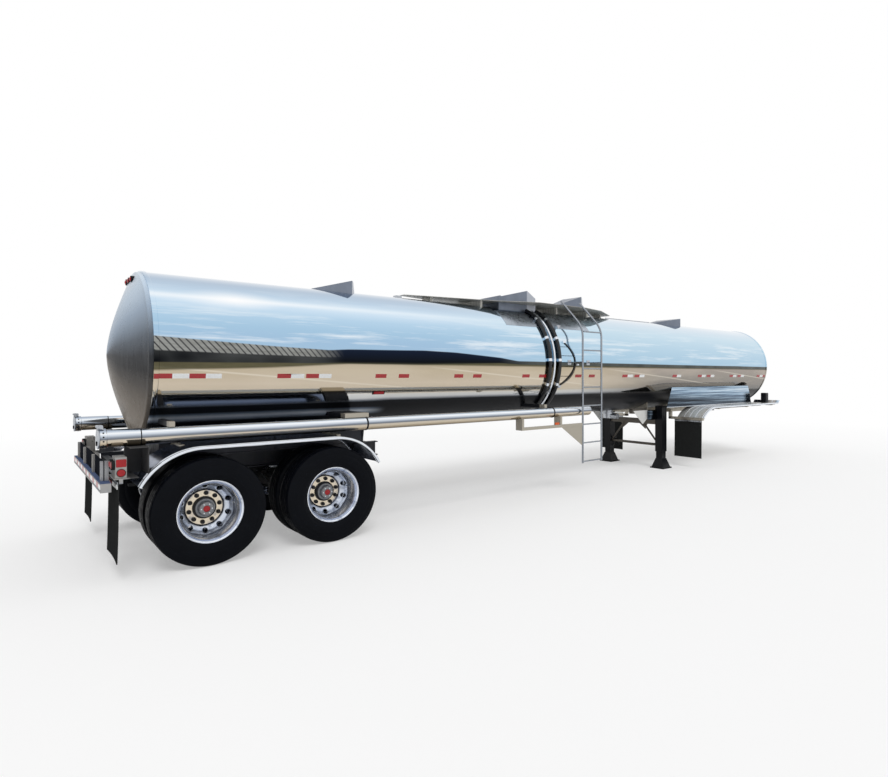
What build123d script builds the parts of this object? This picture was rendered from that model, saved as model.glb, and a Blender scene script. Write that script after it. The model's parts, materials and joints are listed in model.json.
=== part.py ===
"""Tanker semi-trailer, parked on its wheels and landing legs.

Millimetres. +X points forward to the kingpin, +Y to the left side, +Z up.
The origin is on the ground, midway along the overall length and on the centre line.
Distances along X are given ahead of the rear axle, and at() turns them into places.
"""
from build123d import *
from math import acos, asin, atan2, cos, degrees, radians, sin, sqrt
import os

# Wheels and axles
tyre_radius = 522.0
tyre_width = 278.0
tread_width = 176.0
tread_shoulder = 24.0
tread_drop = 10.0
bulge_radius = 395.0
shoulder_radius = 480.0
rim_radius = 302.0
rim_half_width = 112.0
rim_flange = 10.0
flange_drop = 32.0
barrel_radius = 262.0
barrel_wall = 10.0
dual_spacing = 343.0
outer_tyre_y = 1152.0
axle_spacing = 1250.0
axle_tube_radius = 63.5
axle_tube_setback = 115.0
spindle_radius = 45.0
spider_setback = 190.0
spider_length = 50.0
drum_radius = 208.0
drum_wall = 12.0
drum_length = 180.0
drum_shoulder = 18.0
hub_radius = 110.0
hub_cap_reach = 118.0
hub_cap_radius = 72.0
hub_sleeve_radius = 95.0
hand_hole_radius = 26.0
hand_hole_circle = 224.0
hand_hole_count = 10
disc_thickness = 22.0

# Tank
tank_bottom_z = 1150.0
shell_radius = 900.0
shell_length = 12920.0
shell_rear_overhang = 420.0
rear_head_depth = 290.0
rear_head_lip = 40.0
lip_taper = 18.0
front_head_depth = 350.0
head_step = 6.0
band_width = 45.0
band_height = 9.0

# Clearances
seat_gap = 0.3
pin_gap = 0.3
cut_past = 60.0

# Marker lamps on the rear head, as places across the centre line
head_lamp_radius = 34.0
head_lamp_length = 60.0
head_lamp_drop = 66.0
head_lamp_ys = (-150.0, 0.0, 150.0)

# Hose tubes
tube_radius = 76.0
tube_bore = 68.0
collar_radius = 94.0
collar_length = 160.0
tube_y = 1080.0
tube_z = 1270.0
tube_rear_overhang = 880.0
tube_past_ladder = 255.0
tube_end_wall = 10.0
door_thickness = 14.0
door_radius = 90.0
door_pin_radius = 5.0
door_pin_height = 16.0
door_ear_radius = 13.0
door_ear_width = 18.0
door_lug_half_width = 16.0
door_knuckle_radius = 12.0
hanger_height = 50.0
hanger_reach = 20.0
hanger_inner_y = 450.0

# Subframe
rail_y = 480.0
rail_width = 80.0
rail_height = 180.0
rail_bottom_z = 800.0
rail_rear_overhang = 700.0
rail_length = 2900.0
rail_sheet = 12.0
side_plate = 10.0
side_plate_height = 400.0
side_plate_setback = 400.0
saddle_half_width = 520.0
saddle_sheet = 16.0
saddle_low_z = 1200.0
saddle_top_z = 1330.0
crossmember_width = 70.0
crossmember_inset = 30.0
air_tank_radius = 105.0
air_tank_z = 865.0

# Rear fenders
fender_top_z = 1150.0
fender_arc = 600.0
fender_end_z = 830.0
fender_rear_reach = 600.0
fender_front_reach = 560.0
fender_inner_y = 640.0
fender_outer_y = 1290.0
fender_sheet = 4.0
fender_lip = 22.0
lip_width = 16.0
fender_bar = 50.0
fender_bar_reach = 900.0

# Suspension
pivot_reach = 430.0
pivot_z = 610.0
pivot_radius = 20.0
pivot_boss = 48.0
arm_width = 64.0
arm_drop = 85.0
arm_rise = 120.0
arm_half_saddle = 110.0
arm_neck = 200.0
spring_reach = 330.0
spring_radius = 118.0
spring_foot_radius = 80.0
spring_foot = 60.0
spring_cap_radius = 100.0
spring_cap = 14.0
spring_seat_z = 600.0
spring_seat = 28.0
hanger_sheet = 14.0
hanger_rear = 110.0
hanger_front = 150.0
hanger_tip = 60.0
hanger_tip_drop = 50.0
chamber_radius = 75.0
chamber_length = 165.0
chamber_y = 300.0
chamber_lift = 78.0
chamber_setback = 95.0
chamber_bracket = 50.0

# Rear bumper, its uprights and the brackets for the tail lamps
bumper_rear = 880.0
bumper_depth = 80.0
bumper_half_width = 1200.0
bumper_top_z = 885.0
bumper_height = 80.0
upright_y = 1000.0
upright_width = 60.0
upright_top_z = 1060.0
post_y = 380.0
apron_sheet = 8.0
apron_setback = 40.0
flap_bar_x = -722.0
flap_bar_depth = 30.0
flap_bar_height = 38.0
shelf_z = 918.0
shelf_sheet = 6.0
shelf_rear = 790.0
shelf_front = 600.0
shelf_inner_y = 900.0
shelf_outer_y = 1265.0
lamp_box_rear = 775.0
lamp_box_depth = 86.0
lamp_box_inner_y = 1040.0
lamp_box_outer_y = 1238.0
lamp_box_top_z = 1110.0
tail_lamp_radius = 42.0
tail_lamp_length = 36.0
tail_lamp_ys = (1088.0, 1188.0)
tail_lamp_z = 1040.0
side_lamp_radius = 36.0
side_lamp_thickness = 9.0
side_lamp_z = 972.0
side_bar_lamp_z = (1024.0, 1092.0)
side_bar_lamp_inset = 4.0
pocket_rear = 666.0
pocket_front = 520.0
pocket_top_z = 1190.0
pocket_sheet = 6.0

# Mud flaps
flap_sheet = 8.0
flap_width = 600.0
flap_outer_y = 1280.0
flap_bottom_z = 180.0
flap_top_z = 912.0
front_flap_inset = 26.0
front_flap_outer_y = 1250.0
front_flap_bottom_z = 200.0

# Landing gear
leg_setback = 4050.0
leg_y = 640.0
leg_width = 160.0
leg_top_z = 1230.0
leg_sleeve_z = 330.0
inner_leg_width = 136.0
foot_width = 300.0
foot_height = 190.0
foot_sole = 25.0
flare_inset = 40.0
flare_margin = 14.0
brace_z = 455.0
brace_tube_radius = 26.0
brace_half_depth = 50.0
diagonal_radius = 18.0
diagonal_foot_inset = 20.0
diagonal_head_y = 230.0
diagonal_sink = 20.0
beam_z = 860.0
beam_height = 100.0
gusset_half_width = 95.0
gusset_drop = 110.0
gusset_sheet = 10.0
gearbox_depth = 70.0
gearbox_inner_y = 570.0
gearbox_outer_y = 700.0
gearbox_z = (430.0, 560.0)
crank_radius = 11.0
crank_z = 470.0
crank_drop = 130.0
crank_reach = 160.0
crank_grip = 80.0

# Upper coupler
coupler_rear_reach = 300.0
coupler_setback = 100.0
coupler_plate_z = 1080.0
coupler_plate = 12.0
coupler_rail_height = 108.0
plate_reach = 1700.0
cradle_sheet = 20.0
cradle_reaches = (850.0, 2250.0)
leg_ear_half = 70.0
kingpin_setback = 900.0
kingpin_radius = 25.4
kingpin_length = 84.0
kingpin_foot_radius = 35.7
kingpin_foot = 16.0
nose_depth = 80.0
nose_half_width = 300.0

# Front fenders, skirts and flap beams
deck_rear_reach = 520.0
deck_setback = 240.0
deck_z = 1200.0
deck_arc = 700.0
deck_end_z = 1000.0
deck_margin = 110.0
deck_outer_y = 1285.0
deck_bar_y = 1200.0
deck_bar_reaches = (730.0, 1930.0, 3130.0)
deck_rib_ys = (840.0, 960.0, 1080.0)
deck_rib_width = 14.0
deck_rib_height = 5.0
tip_length = 60.0
deck_box_rear = 160.0
deck_box_length = 140.0
deck_box_inner_y = 940.0
deck_box_outer_y = 1060.0
deck_box_height = 230.0
skirt_inset = 100.0
skirt_sheet = 6.0
skirt_clearance = 50.0
skirt_rear_reach = -570.0
skirt_front_reach = 360.0
skirt_rear_slope = 200.0
skirt_front_slope = 130.0
flap_beam_reach = 450.0
flap_beam_depth = 60.0
flap_beam_z = 950.0
flap_beam_height = 50.0

# Tank top
walkway_lift = 50.0
walkway_sheet = 6.0
walkway_edge_y = 700.0
walkway_half_width = 410.0
walkway_neck = 120.0
walkway_rear_reach = 2010.0
walkway_front_reach = 2610.0
manhole_reach = 5310.0
manhole_radius = 255.0
manhole_wall = 8.0
manhole_height = 110.0
lid_thickness = 14.0
lid_cap_radius = 60.0
lid_cap_height = 30.0
lid_pin_radius = 6.0
lid_pin_setback = 24.0
lid_pin_lift = 10.0
lid_knuckle = 14.0
lid_ear_radius = 16.0
lid_ear_width = 20.0
lid_ear_y = 50.0
lid_ear_depth = 45.0
lid_strap_half_width = 40.0
spill_rear_reach = 450.0
spill_length = 810.0
spill_half_width = 340.0
spill_sheet = 6.0
spill_rear_height = 135.0
spill_peak = 285.0
spill_peak_setback = 190.0
spill_front_height = 170.0
spill_sink = 90.0
vent_setback = 100.0
vent_y = 250.0
vent_radius = 55.0
vent_height = 150.0
block_setback = 2130.0
block_half = 45.0
block_height = 35.0
conduit_radius = 14.0
conduit_gap = 20.0
hose_radius = 30.0
hose_reaches = (110.0, 330.0)
hose_gap = 38.0
hose_end = 228.0
drain_pipe_radius = 20.0
drain_pipe_reach = 220.0

# Overturn guards: height at the crest, half width at the rear tip and at the crest
rear_guard_reach = 3390.0
front_guard_reach = 4090.0
middle_guard_reach = 870.0
guard_tip_rise = 6.0
guard_sink = 60.0
guard_skirt = 50.0
guard_front_share = 0.45

# Ladder
ladder_reach = 585.0
ladder_width = 460.0
ladder_out = 105.0
ladder_tube = 16.0
rung_radius = 11.0
ladder_bottom_z = 450.0
ladder_bend_drop = 350.0
ladder_rise = 60.0
ladder_bend_radius = 160.0
ladder_stay_radius = 10.0
rung_spacing = 295.0
rung_start = 20.0
rung_margin = 60.0
bar_reach = 1325.0
bar_low_z = 1040.0
bar_height = 45.0
bar_half_depth = 10.0
bar_post_width = 40.0
bar_gusset_reach = 485.0
bar_gusset_drop = 310.0
bar_gusset_sheet = 3.0
bar_lamp_reach = 635.0
bar_lamp_length = 90.0
bar_lamp_height = 37.0

# Belly outlet
outlet_reach = 850.0
outlet_radius = 95.0
outlet_flange_radius = 125.0
outlet_flange = 30.0
outlet_bottom_z = 1000.0
outlet_stub_radius = 55.0
outlet_stub_reach = 230.0
outlet_stub_z = 1045.0

# Places worked out from the sizes above
shell_axis_z = tank_bottom_z + shell_radius
shell_front = shell_length - shell_rear_overhang
top_z = shell_axis_z + shell_radius
walkway_z = top_z + walkway_lift
manhole_x = manhole_reach - shell_rear_overhang
ladder_x = manhole_x + ladder_reach
ladder_y = tube_y + ladder_out
ladder_bend_z = top_z - ladder_bend_drop
ladder_top_z = walkway_z + ladder_rise
rung_low_z = ladder_bottom_z + rung_start
rung_count = int((ladder_bend_z - rung_margin - rung_low_z) / rung_spacing) + 1
tube_front = ladder_x + tube_past_ladder
door_pin_x = -tube_rear_overhang - seat_gap - door_knuckle_radius
rail_top_z = rail_bottom_z + rail_height
rail_outer_y = rail_y + rail_width / 2
rail_inner_y = rail_y - rail_width / 2
flap_beam_inner_y = rail_outer_y
coupler_low_z = coupler_plate_z + coupler_plate
coupler_top_z = coupler_low_z + coupler_rail_height
leg_x = shell_front - leg_setback
coupler_rear = leg_x - coupler_rear_reach
coupler_front = shell_front - coupler_setback
kingpin_x = shell_front - kingpin_setback
deck_rear = leg_x + deck_rear_reach
deck_front = shell_front - deck_setback
skirt_y = shell_radius - skirt_inset
skirt_top_z = shell_axis_z - sqrt(shell_radius ** 2 - (skirt_y + skirt_sheet) ** 2) - skirt_clearance
deck_inner_y = skirt_y - deck_margin
rear_end = door_pin_x - door_ear_radius
front_end = shell_front + front_head_depth
rear_axle_x = -(rear_end + front_end) / 2
axle_z = tyre_radius
axles = (0.0, axle_spacing)
mount_y = outer_tyre_y - dual_spacing / 2


def at(x):
    """Turn a distance ahead of the rear axle into a place along X."""
    return rear_axle_x + x


def box(x, y, z):
    """A box between a low and a high value along each axis."""
    size = Box(x[1] - x[0], y[1] - y[0], z[1] - z[0])
    return Pos(at((x[0] + x[1]) / 2), (y[0] + y[1]) / 2, (z[0] + z[1]) / 2) * size


def rod_x(radius, x, y, z):
    """A round bar along X between two values of x."""
    return Pos(at((x[0] + x[1]) / 2), y, z) * Rot(0, 90, 0) * Cylinder(radius, x[1] - x[0])


def rod_y(radius, x, y, z):
    """A round bar along Y between two values of y."""
    return Pos(at(x), (y[0] + y[1]) / 2, z) * Rot(90, 0, 0) * Cylinder(radius, y[1] - y[0])


def rod_z(radius, x, y, z):
    """A round bar along Z between two values of z."""
    return Pos(at(x), y, (z[0] + z[1]) / 2) * Cylinder(radius, z[1] - z[0])


def rod_between(radius, a, b):
    """A round bar from one point to another."""
    start = Vector(at(a[0]), a[1], a[2])
    way = Vector(at(b[0]), b[1], b[2]) - start
    return extrude(Plane(origin=start, z_dir=way) * Circle(radius), way.length)


def slab_y(points, y):
    """A plate of (x, z) corners between two values of y."""
    wire = Polyline([(at(px), y[0], pz) for px, pz in points], close=True)
    return extrude(make_face(wire), y[1] - y[0], dir=(0, 1, 0))


def slab_x(points, x):
    """A plate of (y, z) corners between two values of x."""
    wire = Polyline([(at(x[0]), py, pz) for py, pz in points], close=True)
    return extrude(make_face(wire), x[1] - x[0], dir=(1, 0, 0))


def slab_z(points, z):
    """A plate of (x, y) corners between two values of z."""
    wire = Polyline([(at(px), py, z[0]) for px, py in points], close=True)
    return extrude(make_face(wire), z[1] - z[0], dir=(0, 0, 1))


def mirrored(shape):
    """The same shape on the other side of the centre line."""
    return mirror(shape, about=Plane.XZ)


def both(shape):
    """A shape and its twin on the other side."""
    return [shape, mirrored(shape)]


def turned_x(points, x):
    """A solid of revolution about the tank's axis, from (length, radius) corners."""
    face = make_face(Polyline(points, close=True))
    return Pos(at(x), 0, shell_axis_z) * revolve(face, Axis.X)


def turned_y(points, x):
    """A solid of revolution about an axle, from (radius, y) corners."""
    face = make_face(Polyline(points, close=True))
    return Pos(at(x), 0, axle_z) * revolve(face, Axis.Y)


def tank_room(extra=0):
    """The room that the shell takes, with the seat gap round it."""
    ends = (-shell_rear_overhang - seat_gap, front_end)
    return rod_x(shell_radius + extra + seat_gap, ends, 0, shell_axis_z)


def write(name, shapes):
    """Write one node as a STEP file."""
    parts = shapes if isinstance(shapes, list) else [shapes]
    solids = [solid for shape in parts for solid in shape.solids()]
    node = solids[0] if len(solids) == 1 else Compound(children=solids)
    export_step(node, f"parts/{name}.step")


def head_profile(margin=0):
    """The corners of the rear head's side, as (length, radius), grown by a margin."""
    rim = shell_radius - head_step + margin
    return [
        (0, 0), (0, rim), (-rear_head_lip - margin, rim - lip_taper),
        (-rear_head_depth - margin, 0),
    ]


def make_tank():
    """The shell with a band at each end, the shallow rear head and the domed front head."""
    outer = shell_radius + band_height
    rim = shell_radius - head_step
    shell = turned_x(
        [
            (0, 0), (0, outer), (band_width, outer), (band_width, shell_radius),
            (shell_length - band_width, shell_radius), (shell_length - band_width, outer),
            (shell_length, outer), (shell_length, 0),
        ],
        -shell_rear_overhang,
    )
    rear_head = turned_x(head_profile(), -shell_rear_overhang)
    ball = (rim ** 2 + front_head_depth ** 2) / (2 * front_head_depth)
    half_turn = asin(rim / ball) / 2
    middle = (ball * cos(half_turn) - (ball - front_head_depth), ball * sin(half_turn))
    crown = ThreePointArc((0, rim), middle, (front_head_depth, 0))
    base = Polyline([(front_head_depth, 0), (0, 0), (0, rim)])
    front_head = revolve(make_face(crown + base), Axis.X)
    return shell, rear_head, Pos(at(shell_front), 0, shell_axis_z) * front_head


def make_head_lamps():
    """The row of round marker lamps high on the rear head, each seated on the head's slope."""
    head = turned_x(head_profile(seat_gap), -shell_rear_overhang)
    face = -shell_rear_overhang - rear_head_lip
    lamps = []
    for y in head_lamp_ys:
        z = top_z - head_lamp_drop - head_lamp_radius
        lamps.append(rod_x(head_lamp_radius, (face - head_lamp_length, face), y, z) - head)
    return lamps


def make_guard(x, length, crest, height, tip_half_width, half_width, base_z):
    """An overturn guard: low and narrow at the rear, highest and widest at its crest, then cut back."""
    front = x + length
    crest_x = x + length * crest
    foot_z = base_z - guard_sink
    side = slab_y(
        [(x, foot_z), (x, base_z + guard_tip_rise), (crest_x, base_z + height),
         (crest_x + (front - crest_x) * guard_front_share, base_z + height),
         (front, base_z), (front, foot_z)],
        (-half_width - guard_skirt, half_width + guard_skirt),
    )
    plan = slab_z(
        [
            (x, -tip_half_width), (crest_x, -half_width), (front, -half_width * guard_front_share),
            (front, half_width * guard_front_share), (crest_x, half_width), (x, tip_half_width),
        ],
        (foot_z, base_z + height + guard_skirt),
    )
    return side & plan


def make_top():
    """What stands along the top of the tank, apart from the manhole."""
    room = tank_room()
    deck_top = walkway_z + walkway_sheet
    middle_x = manhole_x + middle_guard_reach
    # length, share of it before the crest, height, half width at the tip and at the crest
    sizes = ((560, 0.8, 125, 60, 300), (960, 0.8, 270, 60, 230), (900, 0.8, 125, 60, 300))
    rear_guard = make_guard(manhole_x - rear_guard_reach, *sizes[0], top_z) - room
    middle_guard = make_guard(middle_x, *sizes[1], deck_top)
    below = (deck_top - 2 * guard_sink, deck_top)
    middle_guard = middle_guard - box((middle_x - cut_past, middle_x + 2000), (-500, 500), below)
    front_guard = make_guard(manhole_x + front_guard_reach, *sizes[2], top_z) - room

    spill_rear = manhole_x - spill_rear_reach
    spill_front = spill_rear + spill_length
    sink_z = top_z - spill_sink
    spill = slab_y(
        [(spill_rear, sink_z), (spill_rear, top_z + spill_rear_height),
         (spill_front - spill_peak_setback, top_z + spill_peak),
         (spill_front, top_z + spill_front_height), (spill_front, sink_z)],
        (-spill_half_width, spill_half_width),
    )
    inner_y = spill_half_width - spill_sheet
    inner_x = (spill_rear + spill_sheet, spill_front - spill_sheet)
    inner_z = (sink_z - cut_past, top_z + spill_peak + cut_past)
    inside = box(inner_x, (-inner_y, inner_y), inner_z)
    spill = spill - inside - room

    hole_y = spill_half_width + seat_gap
    hole_x = (spill_rear - seat_gap, spill_front + seat_gap)
    half = walkway_half_width
    # distance from the manhole, near edge, far edge
    outline = (
        (-walkway_rear_reach, -60, 60), (-1760, -130, 130), (-590, -half, half), (100, -walkway_edge_y, half),
        (1230, -walkway_edge_y, half), (1810, -walkway_edge_y + 140, half),
        (walkway_front_reach, -walkway_neck, walkway_neck),
    )
    near = [(manhole_x + reach, low) for reach, low, high in outline]
    far = [(manhole_x + reach, high) for reach, low, high in reversed(outline)]
    deck = slab_z(near + far, (walkway_z, deck_top))
    deck = deck - box(hole_x, (-hole_y, hole_y), (walkway_z - cut_past, deck_top + cut_past))
    # distance from the manhole, half width
    for reach, half_width in ((-1590, 110), (-790, 300), (810, 380), (1610, 380), (2310, 110)):
        x = manhole_x + reach
        stand = box((x, x + 40), (-half_width, half_width), (top_z - cut_past, walkway_z))
        deck = deck + (stand - room)

    vent_z = (top_z - guard_sink, top_z + vent_height)
    vent = rod_z(vent_radius, spill_front - vent_setback, vent_y, vent_z) - room
    block_x = (manhole_x - block_setback, manhole_x - block_setback + 2 * block_half)
    block = box(block_x, (-block_half, block_half), (top_z - 20, top_z + block_height)) - room
    conduit_rear = manhole_x + walkway_front_reach + conduit_gap
    conduit_x = (conduit_rear, manhole_x + front_guard_reach - conduit_gap)
    conduit = rod_x(conduit_radius, conduit_x, 0, top_z + conduit_radius + seat_gap)
    return [rear_guard, middle_guard, front_guard], spill, deck, [vent, block, conduit]


def side_line(radius, x):
    """A hose or pipe that lies on the shell from the walkway down to the belly."""
    ring = shell_radius + seat_gap + radius
    start = degrees(acos(-(spill_half_width + hose_gap) / ring))
    bend = revolve(Pos(0, ring, 0) * Circle(radius), Axis.X, hose_end - start)
    return Pos(at(x), 0, shell_axis_z) * Rot(start, 0, 0) * bend


def make_manhole():
    """The manhole collar with its hinge ears, and the lid with its knuckle."""
    outer = manhole_radius + manhole_wall
    rim_z = top_z + manhole_height
    pin_x = manhole_x - outer - lid_pin_setback
    pin_z = rim_z + lid_pin_lift
    bore = rod_z(manhole_radius, manhole_x, 0, (top_z - 2 * cut_past, rim_z + 2 * cut_past))
    collar = rod_z(outer, manhole_x, 0, (top_z - cut_past, rim_z)) - bore - tank_room()
    pin_y = (-lid_ear_y - lid_ear_width / 2, lid_ear_y + lid_ear_width / 2)
    for y in (-lid_ear_y - lid_ear_width, lid_ear_y):
        ear_y = (y, y + lid_ear_width)
        ear = box((pin_x - lid_ear_radius, manhole_x - outer + 30), ear_y, (rim_z - lid_ear_depth, rim_z))
        collar = collar + (ear - bore) + rod_y(lid_ear_radius, pin_x, ear_y, pin_z)
    collar = collar + rod_y(lid_pin_radius, pin_x, pin_y, pin_z)

    lid_z = (rim_z + seat_gap, rim_z + seat_gap + lid_thickness)
    strap_y = (-lid_strap_half_width, lid_strap_half_width)
    lid = rod_z(outer, manhole_x, 0, lid_z)
    knuckle = box((pin_x, manhole_x), strap_y, lid_z) + rod_y(lid_knuckle, pin_x, strap_y, pin_z)
    knuckle = knuckle - rod_y(lid_pin_radius + pin_gap, pin_x, pin_y, pin_z)
    cap = rod_z(lid_cap_radius, manhole_x, 0, (lid_z[0], lid_z[1] + lid_cap_height))
    return collar, lid + cap + knuckle


def make_ladder():
    """Two rails bent in over the walkway's edge, each with its stay to the shell, and the rungs."""
    top_y = walkway_edge_y + ladder_tube + seat_gap
    rails = []
    for x in (ladder_x, ladder_x + ladder_width):
        corners = [
            (at(x), -ladder_y, ladder_bottom_z), (at(x), -ladder_y, ladder_bend_z),
            (at(x), -top_y, ladder_top_z),
        ]
        path = FilletPolyline(*corners, radius=ladder_bend_radius)
        foot = Plane(origin=corners[0], z_dir=(0, 0, 1))
        rail = sweep(foot * Circle(ladder_tube), path=path)
        stay_y = (-ladder_y, -shell_radius - seat_gap)
        rails.append(rail + rod_y(ladder_stay_radius, x, stay_y, shell_axis_z))
    rung_x = (ladder_x + ladder_tube + seat_gap, ladder_x + ladder_width - ladder_tube - seat_gap)
    rungs = []
    for number in range(rung_count):
        z = rung_low_z + number * rung_spacing
        rungs.append(rod_x(rung_radius, rung_x, -ladder_y, z))
    return rails, rungs


def make_tube():
    """One hose tube with its collar and hinge ears, and the door that closes its rear end."""
    rear = -tube_rear_overhang
    tube = rod_x(tube_radius, (rear, tube_front), -tube_y, tube_z)
    tube = tube + rod_x(collar_radius, (rear, rear + collar_length), -tube_y, tube_z)
    tube = tube - rod_x(tube_bore, (rear - 1, tube_front - tube_end_wall), -tube_y, tube_z)
    pin_z = tube_z + collar_radius + door_pin_height
    inner = door_lug_half_width + 6
    ear_top = pin_z + door_ear_radius
    for y in (-tube_y - inner - door_ear_width, -tube_y + inner):
        ear_y = (y, y + door_ear_width)
        ear = rod_y(door_ear_radius, door_pin_x, ear_y, pin_z)
        neck = box((rear, rear + 25), ear_y, (tube_z + tube_radius, ear_top))
        arm = box((door_pin_x, rear + 5), ear_y, (pin_z - 6, ear_top))
        tube = tube + ear + neck + arm
    pin_half = inner + door_ear_width / 2
    tube = tube + rod_y(door_pin_radius, door_pin_x, (-tube_y - pin_half, -tube_y + pin_half), pin_z)

    door_x = (rear - seat_gap - door_thickness, rear - seat_gap)
    lug_y = (-tube_y - door_lug_half_width, -tube_y + door_lug_half_width)
    door = rod_x(door_radius, door_x, -tube_y, tube_z)
    lug = box(door_x, lug_y, (tube_z + tube_radius, pin_z))
    knuckle = rod_y(door_knuckle_radius, door_pin_x, lug_y, pin_z)
    hole = rod_y(door_pin_radius + pin_gap, door_pin_x, (-tube_y - pin_half, -tube_y + pin_half), pin_z)
    return tube, door + lug + knuckle - hole


def make_tube_brackets():
    """The boxes under the tank that one hose tube hangs from."""
    low = tube_z + tube_radius + seat_gap
    reach_y = (-tube_y - hanger_reach, -hanger_inner_y)
    hangers = []
    # distance ahead of the tube's rear end, length along the tube
    for reach, length in ((550, 50), (2340, 300), (5580, 50)):
        x = reach - tube_rear_overhang
        hangers.append(box((x, x + length), reach_y, (low, low + hanger_height)) - tank_room())
    return hangers


def make_side_bar():
    """The bar, posts and gusset that tie the ladder's foot to the right hose tube."""
    face = ladder_x - ladder_tube - seat_gap
    rear = ladder_x - bar_reach
    top = bar_low_z + bar_height
    bar_y = (-ladder_y - bar_half_depth, -ladder_y + bar_half_depth)
    room = rod_x(tube_radius + seat_gap, (-tube_rear_overhang, tube_front), -tube_y, tube_z)
    bar = box((rear, face), bar_y, (bar_low_z, top))
    gusset = slab_y(
        [(ladder_x - bar_gusset_reach, bar_low_z), (face, bar_low_z),
         (face, bar_low_z - bar_gusset_drop)],
        (-ladder_y - bar_gusset_sheet, -ladder_y + bar_gusset_sheet),
    )
    for x in (rear, ladder_x - bar_gusset_reach - bar_post_width):
        post = box((x, x + bar_post_width), (bar_y[0], -tube_y + 20), (bar_low_z, tube_z - 60))
        bar = bar + (post - room)
    return bar + gusset


def make_subframe():
    """Two channel rails with crossmembers, side plates and saddles that carry the tank."""
    rear = -rail_rear_overhang
    front = rear + rail_length
    rail = box((rear, front), (rail_inner_y, rail_outer_y), (rail_bottom_z, rail_top_z))
    pocket_z = (rail_bottom_z + rail_sheet, rail_top_z - rail_sheet)
    rail = rail - box((rear - 1, front + 1), (rail_inner_y + rail_sheet, rail_outer_y + 1), pocket_z)
    plate_x = (rear + side_plate_setback, front - side_plate_setback / 2)
    side_plate_z = (rail_top_z - 5, rail_top_z + side_plate_height)
    rail = rail + box(plate_x, (rail_y - side_plate, rail_y), side_plate_z)
    frame = rail + mirrored(rail)
    member_z = (rail_bottom_z + crossmember_inset, rail_top_z - crossmember_inset)
    for x in crossmember_xs():
        frame = frame + box((x, x + crossmember_width), (-rail_inner_y - 5, rail_inner_y + 5), member_z)
    half = saddle_half_width
    outline = [
        (-half, saddle_low_z), (-half, saddle_top_z), (half, saddle_top_z), (half, saddle_low_z),
        (rail_y, rail_top_z - 5), (-rail_y, rail_top_z - 5),
    ]
    for x in (plate_x[0] - saddle_sheet / 2, axle_spacing * 0.7, plate_x[1] - saddle_sheet / 2):
        frame = frame + slab_x(outline, (x, x + saddle_sheet))
    return frame - tank_room()


def crossmember_xs():
    """Where the subframe's crossmembers begin."""
    rear = -rail_rear_overhang
    return (rear, 250, axle_spacing - 120, rear + rail_length - crossmember_width)


def make_air_tank():
    """The brakes' air tank, held between the two front crossmembers."""
    start = crossmember_xs()[2] + crossmember_width + seat_gap
    end = crossmember_xs()[3] - seat_gap
    return rod_x(air_tank_radius, (start, end), 0, air_tank_z)


def arc_band(centres, radius, top, turn_rear, turn_front, sheet, y):
    """A bent sheet: a rear arc, a flat top and a front arc, between two values of y."""
    def point(side, inset, turn):
        r = radius - inset
        return (at(centres[side]) + r * cos(radians(turn)), y[0], top - radius + r * sin(radians(turn)))

    edges = []
    for inset in (0, sheet):
        edges.append(ThreePointArc(
            point(0, inset, turn_rear), point(0, inset, (turn_rear + 90) / 2), point(0, inset, 90)))
        edges.append(Line(point(0, inset, 90), point(1, inset, 90)))
        if turn_front < 90:
            edges.append(ThreePointArc(
                point(1, inset, 90), point(1, inset, (turn_front + 90) / 2), point(1, inset, turn_front)))
    edges.append(Line(point(0, 0, turn_rear), point(0, sheet, turn_rear)))
    edges.append(Line(point(1, 0, turn_front), point(1, sheet, turn_front)))
    return extrude(make_face(edges), y[1] - y[0], dir=(0, 1, 0))


def make_rear_fender():
    """One tandem fender, with its rolled lip and the bars that reach in to the subframe."""
    drop = fender_arc - (fender_top_z - fender_end_z)
    run = sqrt(fender_arc ** 2 - drop ** 2)
    centres = (-fender_rear_reach + run, axle_spacing + fender_front_reach - run)
    turn = degrees(atan2(drop, run))
    sheet_y = (-fender_outer_y, -fender_inner_y)
    lip_y = (-fender_outer_y, -fender_outer_y + lip_width)
    fender = arc_band(centres, fender_arc, fender_top_z, 180 - turn, turn, fender_sheet, sheet_y)
    fender = fender + arc_band(centres, fender_arc, fender_top_z, 180 - turn, turn, fender_lip, lip_y)
    under = fender_top_z - fender_sheet
    for x in (-200, axle_spacing / 2, axle_spacing + 200):
        bar_y = (-fender_bar_reach, -rail_y)
        fender = fender + box((x, x + fender_bar), bar_y, (under - fender_bar, under))
    return fender


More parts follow.
